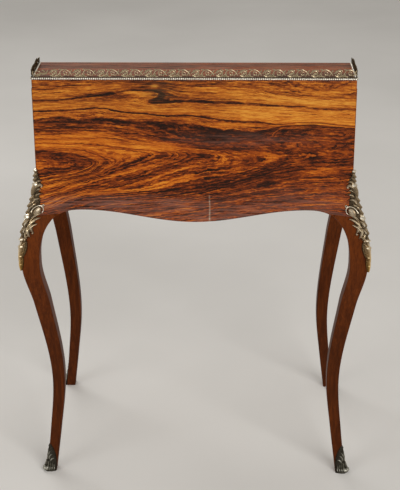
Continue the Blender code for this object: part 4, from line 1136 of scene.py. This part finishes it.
def strip(path, half, crown, columns=14, rib=0.5, veins=0.0, flutes=0.0):
    """A raised strip along a path. Returns across, along, height and relief, each rows by columns.

    Round the strip c = cos(angle) runs from edge to edge. The upper side stands crown times a
    dome, sqrt(1 - c^2), mixed with a sharp rib exp(-(c / 0.25)^2). Veins cut grooves that slant
    back from the rib, and flutes cut grooves along the strip. The under side is flat.
    """
    flat, angle = swept(path, half, columns)
    c, up = np.cos(angle), np.sin(angle)
    t = np.linspace(0, 1, len(path))[:, None]
    dome = np.sqrt(np.clip(1 - c**2, 0, 1)) * (1 - rib) + rib * np.exp(-((c / 0.25) ** 2))
    groove = 1 - 0.45 * (0.5 - 0.5 * np.cos(2 * np.pi * (veins * t + 0.8 * np.abs(c))))
    flute = 1 - 0.4 * (0.5 - 0.5 * np.cos(2 * np.pi * flutes * c))
    shape = (0.25 + 0.75 * dome) * flute * (groove if veins else 1.0)
    height = np.where(up >= -1e-9, crown[:, None] * shape, -0.2)
    relief = np.where(up >= -1e-9, np.clip((shape - 0.22) / 0.7, 0, 1) ** 1.2, 0.0)
    return flat[..., 0], flat[..., 1], height + 0 * t, relief + 0 * t


print(f"a scroll of one turn is {np.ptp(spiral((0, 0), 8, 0, 360, 1, 37)[:, 0]):.0f} mm wide")


# %% Leaves, beads and scrolls
def leaf(base, tip, bend, width, height, lobes=0, curl=0.3, flutes=0.0):
    """An acanthus leaf: half-width is a sine hump cut by lobes, and the tip curls outwards."""
    rows = 14 + 7 * lobes
    t = np.linspace(0, 1, rows)
    notch = 1 - 0.4 * np.abs(np.sin(np.pi * lobes * t)) if lobes else 1.0
    half = width * np.sin(np.pi * np.clip(t, 0.02, 0.985) ** 0.8) ** 0.7 * notch
    crown = height * (0.6 + 0.4 * np.sin(np.pi * t) + curl * t**3)
    columns = 28 if flutes else 16
    return strip(bowed(base, tip, bend, rows), half, crown, columns, 0.5, lobes, flutes)


def bead(centre, wide, tall, height):
    """A dome with an oval foot: half-width and height follow sqrt(1 - v^2)."""
    v = np.sin(np.linspace(-1, 1, 13) * np.pi / 2 * 0.98)
    path = np.stack([np.full(13, centre[0]), centre[1] + tall * v], 1)
    round_off = np.sqrt(1 - v**2)
    return strip(path, wide * round_off, height * round_off, 14, 0.0)


def scroll(centre, radius, start, sweep, inner, width, height, rows=36):
    """A tube that curls to an eye, thinner towards the eye."""
    path = spiral(centre, radius, start, sweep, inner, rows)
    taper = np.linspace(1, 0.55, rows) * np.clip(8 * np.linspace(0, 1, rows) + 0.3, 0, 1)
    return strip(path, width * taper, height * taper, 12, 0.0)


print(f"a leaf of three lobes has {leaf((0, 0), (0, 30), 0, 5, 5, 3)[0].size} points")

# %% Round the corner
FOLD_EASE = 1.2
STRIP_LIFT = 0.9


def fold(a):
    """Millimetres along a face, with a soft turn at the ridge: e log(1 + exp(a / e))."""
    return FOLD_EASE * np.logaddexp(0, a / FOLD_EASE)


def on_corner(a, s, h, top, sign_x, sign_y):
    """Wraps flat (a, s, h) millimetres round a leg's outer corner, below a top in metres.

    Away from the ridge a point stands h off its face; at the ridge it stands h off both.
    """
    z = top - s / 1000
    out, lean = leg_offset(z), face_lean(z)
    turn = 1 / (1 + np.exp(-a / FOLD_EASE))
    size = np.maximum(turn, 1 - turn)
    x = HALF_WIDTH + out + (h * (1 - turn) / size - fold(a) - lean * fold(-a)) / 1000
    y = HALF_DEPTH + out + (h * turn / size - fold(-a) - lean * fold(a)) / 1000
    return np.stack([sign_x * x, sign_y * y, np.maximum(z, 0.0)], -1)


def cast_on_corner(plate, lift, shade, strips, top, sign_x, sign_y):
    """A casting of a plate, lifted off the wood and dulled by a share, with strips over it."""
    casting = Casting()
    a, s, h, relief = plate
    casting.add(on_corner(a, s, h + lift, top, sign_x, sign_y), relief * shade)
    for a, s, h, relief in strips:
        casting.add(on_corner(a, s, h + STRIP_LIFT, top, sign_x, sign_y), relief)
    return casting


print(f"the fold stands {fold(0.0):.2f} mm off the ridge")

# %% [markdown]
# ## The knee mounts
# From the top down: a bud, a cone of beads, a collar of lobes, a leaf on the ridge, an oval boss on
# each face in a scroll with flutes below it, a second leaf, a spiked collar and a tail of two
# husks. Each row of a table is one leaf or bead, in millimetres. A leaf has base, tip, bend,
# half-width, height, lobes, curl and flutes; a bead has middle, half-width, half-length and height.

# %% Leaves and beads of a mount
RIDGE_LEAVES = (
    ((0, 5), (0, 33), 0, 4.8, 7.8, 3, 0.2), ((0, 30), (0, 57), 0, 7.6, 8.2, 0, 0.1, 1.5),
    ((0, 50), (0, 104), 0, 4.2, 9.2, 4, 0.1), ((0, 97), (0, 147), 0, 5.2, 8.6, 3, 0.1),
    ((0, 142), (0, 171), 0, 6.4, 7.6, 1, 0.2, 1.5), ((0, 146), (0, 195), 0, 12.6, 5.4, 0, 0.3, 2.5),
    ((0, 180), (0, 220), 0, 6.4, 4.4, 0, 0.1, 1.5),
)
FACE_LEAVES = (
    ((0, 15), (5, 9), 0.3, 1.8, 4.5, 0), ((0, 25), (7, 18), 0.3, 2.2, 4.8, 0),
    ((0, 36), (12, 28), 0.35, 3.4, 6.4, 0), ((0, 43), (15, 38), 0.3, 4.6, 6.2, 0),
    ((1, 51), (13, 47), 0.3, 3.2, 5.6, 0), ((1, 68), (19, 55), 0.3, 4.6, 6.6, 1),
    ((1, 78), (17, 66), 0.35, 3.8, 6.2, 0), ((1, 89), (13, 76), 0.35, 3.4, 6.0, 0),
    ((1, 104), (8, 90), 0.3, 3.0, 6.4, 0), ((1, 120), (9, 106), 0.25, 3.2, 6.6, 0),
    ((1, 134), (9, 122), 0.25, 3.0, 6.6, 0), ((27, 98), (7, 121), -0.28, 3.8, 5.8, 0),
    ((27, 107), (6, 133), -0.24, 4.0, 5.8, 0), ((24, 119), (5, 142), -0.20, 3.6, 5.4, 0),
    ((8, 106), (21, 137), -0.12, 4.4, 5.0, 0), ((5, 118), (16, 146), -0.12, 4.2, 5.0, 0),
    ((2, 134), (10, 149), -0.1, 2.8, 5.0, 0), ((1, 154), (13, 141), 0.2, 3.0, 6.0, 0),
    ((1, 164), (11, 155), 0.2, 2.8, 5.4, 0), ((1, 182), (7, 176), 0.2, 2.2, 3.6, 0),
    ((1, 198), (5, 193), 0.2, 1.6, 2.8, 0),
)
BEADS = (
    ((0, 3), 3.0, 3.2, 6.6), ((0, 34), 4.4, 4.6, 9.0), ((0, 101), 4.0, 5.4, 9.6),
    ((0, 148), 3.4, 3.6, 8.6), ((0, 164), 4.6, 4.0, 8.2), ((0, 186), 2.6, 2.6, 5.2),
    ((0, 205), 1.8, 1.8, 3.8),
)
FACE_BEADS = (
    ((12.5, 38.5), 3.0, 3.4, 6.4), ((16, 92), 8.8, 9.4, 5.8), ((19, 137), 2.8, 2.6, 4.8),
    ((5, 149), 3.0, 3.0, 6.6),
)
# Where the tail starts, and the shares of relief of ridge, tail, and bosses and beads on a face.
TAIL_START, RIDGE_SHINE, TAIL_SHINE, BOSS_SHINE = 150, 0.5, 0.8, 0.56


def mount_strips():
    """All strips of one mount: ridge pieces once, face pieces on both faces."""
    made = [
        (a, s, h, np.where(s > TAIL_START, TAIL_SHINE, RIDGE_SHINE) * r)
        for a, s, h, r in (leaf(*row) for row in RIDGE_LEAVES)
    ]
    made += [bead(*row) for row in BEADS]
    pieces = [leaf(*row) for row in FACE_LEAVES]
    pieces += [(a, s, h, BOSS_SHINE * r) for a, s, h, r in (bead(*row) for row in FACE_BEADS)]
    pieces.append(scroll((16, 92), 12.4, 165, 215, 0.98, 2.0, 5.6))
    pieces.append(scroll((25, 81), 3.2, 100, 420, 0.3, 1.3, 4.0))
    return made + [(face * a, s, h, r) for face in (1, -1) for a, s, h, r in pieces]


strips = mount_strips()
print(f"{len(strips)} strips on a mount")

# %% Knee mounts
# Half-width of the plate behind the strips, as a share of its widest, from the tail up.
MOUNT_REACH = (
    (0.00, 0.06), (0.13, 0.14), (0.25, 0.24), (0.33, 0.52), (0.40, 0.82), (0.46, 0.98),
    (0.52, 0.96), (0.60, 1.00), (0.66, 0.92), (0.72, 0.66), (0.78, 0.46), (0.83, 0.50),
    (0.88, 0.48), (0.92, 0.24), (1.00, 0.14),
)
MOUNT_LENGTH, PLATE_HALF = 220, 19.0
# The front mounts stop lower, under the closed fall.
MOUNT_TOP = {1: 0.741, -1: 0.719}
plate_s = np.linspace(3, MOUNT_LENGTH - 2, 70)
plate_half = PLATE_HALF * smooth_through(MOUNT_REACH, 1 - plate_s / MOUNT_LENGTH)
plate_path = np.stack([np.zeros(70), plate_s], 1)
plate = strip(plate_path, plate_half, np.full(70, 1.6), 28, 0.0)
for corner, sign_x, sign_y in CORNERS:
    mount = cast_on_corner(plate, 0.4, 0.15, strips, MOUNT_TOP[sign_y], sign_x, sign_y)
    node = f"corner_mount_{corner}"
    mount.piece(f"knee_mount_{corner}", mount_brass, "case", "cast_brass", [node])

# %% [markdown]
# ## The shoes
# A cast sabot keeps each foot from splitting. A narrow leaf climbs the ridge, slanting leaves lie
# beside it, and below them ribs run out over a splayed toe and end in round lobes. The same strips
# are wrapped round the foot, over a wall that widens to the floor.

# %% Shoes
SHOE_LENGTH, WALL_HALF = 65, 22.0
SHOE_LEAVES = (
    ((2, 30), (5, 16), 0.2, 2.0, 2.2, 0),
    ((3, 38), (9, 24), 0.2, 2.4, 2.8, 0),
    ((5, 45), (15, 34), 0.2, 2.6, 3.0, 0),
    ((2.4, 40), (4.2, 60), -0.05, 2.0, 6.0, 0, 0.2),
    ((6.4, 42), (8.8, 61), -0.06, 2.0, 5.2, 0, 0.2),
    ((10.6, 45), (13.6, 62), -0.07, 2.0, 4.6, 0, 0.2),
    ((14.6, 48), (18.2, 63), -0.08, 1.8, 4.0, 0, 0.2),
)
SHOE_LOBES = (
    ((1.8, 57), 2.6, 6.0, 10.6), ((6.4, 58), 2.0, 5.0, 8.6),
    ((11.4, 59), 1.8, 4.6, 6.2), ((16.4, 60), 1.7, 4.2, 4.2),
)
ridge_leaf = leaf((0, 48), (0, 1), 0, 4.0, 2.6, 4)
toe_leaf = leaf((0, 36), (0, 60), 0, 3.0, 7.0, 2, 0.3)
shoe_strips = [(a, s, h, 0.6 * r) for a, s, h, r in (ridge_leaf, toe_leaf)]
face_strips = [leaf(*row) for row in SHOE_LEAVES] + [bead(*row) for row in SHOE_LOBES]
for face in (1, -1):
    shoe_strips += [(face * a, s, h, np.clip(1.6 * r, 0, 1)) for a, s, h, r in face_strips]
wall_s = np.linspace(0.5, SHOE_LENGTH, 44)
wall_half = WALL_HALF * (1 - 0.87 * (1 - wall_s / SHOE_LENGTH) ** 2.6)
wall_crown = 1.4 + 6.0 * (wall_s / SHOE_LENGTH) ** 6
wall = strip(np.stack([np.zeros(44), wall_s], 1), wall_half, wall_crown, 30, 0.0)
for corner, sign_x, sign_y in CORNERS:
    shoe = cast_on_corner(wall, 0.3, 0.2, shoe_strips, SHOE_LENGTH / 1000, sign_x, sign_y)
    shoe.piece(f"sabot_{corner}", shoe_brass, "case", "cast_brass", [f"foot_shoe_{corner}"])

# %% [markdown]
# ## The gallery
# A low pierced rail keeps things on the shelf. It is cast flat as a running scroll: a spiral with a
# flower at its eye, a tendril that arches to the next one, and small leaves at each fork. Wires of
# oval section along flat paths give the same rounded bars as the casting.


# %% Gallery wires
def wire(path, half, thick, columns=8):
    """A rod along a flat path: an ellipse, half wide in the plane and thick through it."""
    flat, angle = swept(path, np.broadcast_to(half, len(path)), columns)
    depth = np.sin(angle) * np.broadcast_to(thick, len(path))[:, None]
    # The outer side is lighter and the inner side darker.
    outer, inner = np.clip(-np.sin(angle), 0, 1), np.clip(np.sin(angle), 0, 1)
    relief = 0.35 + 0.65 * outer + 0.1 * inner + 0 * depth
    return np.stack([flat[..., 0], depth, flat[..., 1]], -1), relief


def smooth_path(points, rows):
    """A smooth path through points, by distance between them."""
    points = np.array(points, float)
    place = np.concatenate([[0], np.cumsum(np.linalg.norm(np.diff(points, axis=0), axis=1))])
    at = np.linspace(0, place[-1], rows)
    across = smooth_through(np.column_stack([place, points[:, 0]]), at)
    return np.column_stack([across, smooth_through(np.column_stack([place, points[:, 1]]), at)])


def gallery_leaf(base, tip, bend, width):
    """A flat leaf: a wire that swells by a sine hump between its ends."""
    t = np.linspace(0, 1, 14)
    half = width * np.sin(np.pi * np.clip(t, 0.03, 0.97)) ** 0.8 + 0.15
    return wire(bowed(base, tip, bend, 14), half, 0.35 + 0.45 * half)


def gallery_eye(centre, start):
    """The spiral that each motif winds round."""
    return wire(spiral(centre, 8.0, start, 560, 0.22, 60), np.linspace(1.15, 0.7, 60), 0.95)


print(f"an eye of the gallery has {gallery_eye((0, 0), 0)[1].size} points")

# %% One repeat of the gallery
# Base, tip, bend and half-width of each leaf, in millimetres.
MOTIF_LEAVES = (
    ((4, 3), (20, 16), 0.12, 1.9), ((20, 15), (6, 12), 0.20, 1.5), ((24, 9), (32, 2), 0.25, 1.6),
    ((30, 15), (23, 17), 0.20, 1.3), ((41, 4), (33, 3), 0.30, 1.4), ((45, 11), (50, 17), 0.15, 1.4),
    ((17, 2), (27, 10), 0.25, 1.4), ((1, 9), (7, 17), 0.20, 1.4), ((43, 2), (49, 9), -0.25, 1.4),
)
END_LEAVES = (
    ((8, 2), (27, 7), -0.20, 1.8), ((17, 5), (28, 16), 0.15, 1.7), ((22, 10), (17, 16), 0.25, 1.3),
)


def gallery_motif():
    """One repeat 50 mm long and 18 mm high, in millimetres, as wires."""
    arch = smooth_path([(5, 5), (14, 1.6), (22, 6), (28, 15), (36, 17), (44, 13), (50, 5)], 40)
    curl = spiral((37, 9.5), 5.2, 80, 430, 0.3, 36)
    made = [gallery_eye((12, 9), 200), wire(arch, 1.05, 0.9)]
    made.append(wire(curl, np.linspace(1.0, 0.6, 36), 0.85))
    made += [gallery_leaf(*row) for row in MOTIF_LEAVES]
    t = np.linspace(-0.98, 0.98, 7)
    ball = np.sqrt(1 - t**2)
    flower = np.column_stack([np.full(7, 12.0), 9 + 2.1 * t])
    return made + [wire(flower, 2.1 * ball, 1.0 * ball)]


def end_scroll(tall):
    """The scroll that starts a run, 28 mm long, with its height changed by a factor."""
    made = [gallery_eye((9.5, 9), 150)] + [gallery_leaf(*row) for row in END_LEAVES]
    return [(points * (1, 1, tall), relief) for points, relief in made]


motif = gallery_motif()
print(f"{len(motif)} wires in one repeat of the gallery")

# %% Gallery runs
GALLERY_FOOT, REPEAT, END_LENGTH = 0.9396, 50, 28
# Name, start, heading, length, length before the first repeat, repeats, height of the first scroll.
RUNS = (
    ("back", (0.3335, 0.2005), (-1, 0), 667.0, 34.0, 13, 0.95),
    ("left", (-0.3345, 0.0735), (0, 1), 125.5, 28.0, 2, 0.72),
    ("right", (0.3345, 0.0735), (0, 1), 125.5, 28.0, 2, 0.72),
)
for name, start, heading, length, lead, repeats, tall in RUNS:
    rail = Casting()
    stretch = (length - lead) / (repeats * REPEAT)
    deep = np.array([-heading[1], heading[0]]) * (-1 if name == "left" else 1)
    wires = [(points * (lead / END_LENGTH, 1, 1), relief) for points, relief in end_scroll(tall)]
    for i in range(repeats):
        shift = (lead + REPEAT * stretch * i, 0, 0)
        wires += [(points * (stretch, 1, 0.96) + shift, relief) for points, relief in motif]
    foot = np.column_stack([np.linspace(0, length, 8), np.full(8, 0.9)])
    points, relief = wire(foot, 0.9, 0.95)
    wires.append((points, 0.2 * relief))
    for points, relief in wires:
        x = start[0] + (heading[0] * points[..., 0] + deep[0] * points[..., 1]) / 1000
        y = start[1] + (heading[1] * points[..., 0] + deep[1] * points[..., 1]) / 1000
        rail.add(np.stack([x, y, GALLERY_FOOT + points[..., 2] / 1000], -1), relief)
    # The side galleries take the darker copy of the brass, which is painted shade.
    metal = gallery_brass if name == "back" else side_gallery_painted_shade_brass
    rail.piece(f"pierced_gallery_{name}", metal, "case", "cast_brass", [f"gallery_{name}"])

# %% [markdown]
# ## The beaded strip
# A strip of fine beads covers the gallery's foot. On the real one it is drawn through a die. Here
# it is a rod whose radius swells as sqrt|sin| along its length, once for each bead.

# %% Beads
BEAD_PITCH, STRING_RADIUS, BEAD_SWELL, BEAD_SPREAD = 0.0042, 0.0009, 0.0016, 1.35
BEAD_AXIS = 0.9343 + 0.0025
beads = Casting()
for x0, y0, x1, y1 in (
    (-0.3345, 0.2005, 0.3345, 0.2005),
    (-0.3345, 0.0732, -0.3345, 0.2005),
    (0.3345, 0.0732, 0.3345, 0.2005),
):
    length = math.hypot(x1 - x0, y1 - y0)
    count = round(length / BEAD_PITCH)
    u = np.linspace(0, count, count * 6 + 1)
    radius = (STRING_RADIUS + BEAD_SWELL * np.sqrt(np.abs(np.sin(np.pi * u))))[:, None]
    angle = np.linspace(0, 2 * np.pi, 10, endpoint=False)
    spread_out = radius * np.cos(angle) * BEAD_SPREAD
    up = BEAD_AXIS + radius * np.sin(angle)
    along = u[:, None] / count
    side = np.array([y0 - y1, x1 - x0]) / length
    x = x0 + (x1 - x0) * along + side[0] * spread_out
    y = y0 + (y1 - y0) * along + side[1] * spread_out
    # The rubbed, bright part of a bead is its outer side; dirt lies on its top.
    rubbed = np.clip((0.95 - np.sin(angle)) / 0.5, 0.15, 1)
    light = np.clip((radius - STRING_RADIUS) / BEAD_SWELL, 0, 1) * rubbed
    beads.add(np.stack([x, y, up], -1), light)
beads.piece("beaded_strip", moulding_brass, "case", "cast_brass", ["gallery_moulding"])

# %% [markdown]
# ## Inside the fall
# The sitter sees a writing hide let into the fall, three small drawers and turned knobs. The hide
# and the drawer fronts are sheets that carry distances in metres as their UV map, so the tooling
# and the banding keep to the edges. A knob is a profile turned about its own axis, as on a lathe.

# %% Writing hide
HIDE_LIFT, HIDE_THICK = 0.00005, 0.001
hide_x, hide_v = np.meshgrid(
    np.linspace(-LEATHER_HALF[0], LEATHER_HALF[0], 60),
    np.linspace(-LEATHER_HALF[1], LEATHER_HALF[1], 30),
)
up_slope = hide_v + FALL_LENGTH / 2
hide_y = -HALF_DEPTH + up_slope * math.cos(FALL_ANGLE) - HIDE_LIFT * math.sin(FALL_ANGLE)
hide_z = WRITING_HEIGHT + up_slope * math.sin(FALL_ANGLE) + HIDE_LIFT * math.cos(FALL_ANGLE)
hide_grid = np.stack([hide_x, hide_y, hide_z], -1)[::-1]
hide_place = np.stack([hide_x, hide_v], -1)[::-1]
hide_slot = "writing_leather"
lay_sheet(
    "tooled_leather", hide_grid, hide_place, leather, "fall", hide_slot, HIDE_THICK, [hide_slot]
)

# %% Drawer fronts and knobs
# Distance from the base and radius, in millimetres.
KNOB_PROFILE = (
    (0.0, 3.8), (0.6, 4.2), (1.4, 4.0), (2.0, 2.9), (4.5, 2.6), (5.2, 3.2), (6.0, 5.2), (7.5, 6.2),
    (9.0, 6.45), (10.8, 5.9), (12.2, 4.2), (12.8, 1.8), (12.95, 0.05),
)


def turn_knob(name, node, body, base):
    """A profile of distance and radius turned about an axis towards the front."""
    far, radius = np.array(KNOB_PROFILE).T / 1000
    angle = np.linspace(0, 2 * np.pi, 28, endpoint=False)
    x = base[0] + radius[:, None] * np.cos(angle)
    z = base[2] + radius[:, None] * np.sin(angle)
    y = np.broadcast_to(base[1] - far[:, None], x.shape)
    knob = Casting()
    # The relief is full from a radius of 5.2 mm, and the neck stays dull.
    knob.add(np.stack([x, y, z], -1), np.clip(radius[:, None] / 0.0052, 0, 1) + 0 * x)
    knob.piece(name, fitting_brass, body, "cast_brass", [node])


DRAWER_FOOT, DRAWER_HEAD, DRAWER_MIDDLE, DRAWER_HALF = 0.7405, 0.7912, 0.76585, 0.0254
DRAWER_FACE, FRONT_THICK = 0.0355, 0.00015
KNOB_FOOT, KNOB_HEIGHT = 0.0354, 0.7659
DRAWERS = (("left", -0.3181, -0.1096), ("middle", -0.1004, 0.1004), ("right", 0.1096, 0.3181))
for side, low, high in DRAWERS:
    body = f"drawer_{side}"
    across, tall = np.meshgrid(
        np.linspace(low, high, 90), np.linspace(DRAWER_FOOT, DRAWER_HEAD, 40)
    )
    ends = np.minimum(across - low, high - across)
    edge = np.minimum(ends, DRAWER_HALF - np.abs(tall - DRAWER_MIDDLE))
    front = np.stack([across, np.full_like(across, DRAWER_FACE), tall], -1)
    figure = np.stack([edge, across], -1)
    name = f"drawer_veneer_{side}"
    lay_sheet(name, front, figure, drawer_wood, body, "satinwood_interior", FRONT_THICK)
    base = ((low + high) / 2, KNOB_FOOT, KNOB_HEIGHT)
    turn_knob(f"turned_knob_{side}", f"drawer_knob_{side}", body, base)
for side, sign in SIDES:
    base = (sign * LOPER_X, -0.2013, 0.6992)
    turn_knob(f"turned_loper_knob_{side}", f"loper_knob_{side}", f"loper_{side}", base)

# %% [markdown]
# ## The rest of the CAD
# Boards, hinges and lock parts are right as the CAD has them. Each gets a real finish, and a small
# rounding on its edges, since no worked edge is perfectly sharp. Their triangles are loose, so they
# are welded first.

# %% Finishes for the CAD pieces
# The start of a node's name, its finish and its rounding in metres; the first row that fits counts.
FINISHES = (
    ("top_board", shelf_veneer, 0.0012),
    ("fall_board", fall_veneer, 0.0009),
    ("dust_board", oak, 0.0005),
    ("lock_", steel, 0.0003),
    ("strike_plate", hinge_brass, 0.0002),
    ("escutcheon", hinge_brass, 0.0004),
    ("writing_bed", bed_wood, 0.0006),
    ("hinge", hinge_brass, 0.0002),
    ("loper", loper_wood, 0.0005),
    ("drawer_tray", oak, 0.0005),
    (("drawer", "pigeonhole"), satinwood, 0.0005),
)
replaced = {node for item in bpy.data.objects for node in item.get("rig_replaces", ())}
for node, obj in frame["nodes"].items():
    fitting = [row[1:] for row in FINISHES if node.startswith(row[0])]
    if not fitting or node in replaced:
        continue
    finish, rounding = fitting[0]
    obj.data.materials.clear()
    obj.data.materials.append(finish)
    weld = obj.modifiers.new("weld", "WELD")
    weld.merge_threshold = 1e-5
    ease = obj.modifiers.new("eased_edges", "BEVEL")
    ease.width = rounding
    ease.segments = 2
    ease.limit_method = "ANGLE"
    ease.angle_limit = math.radians(35)
    print(node, finish.name)
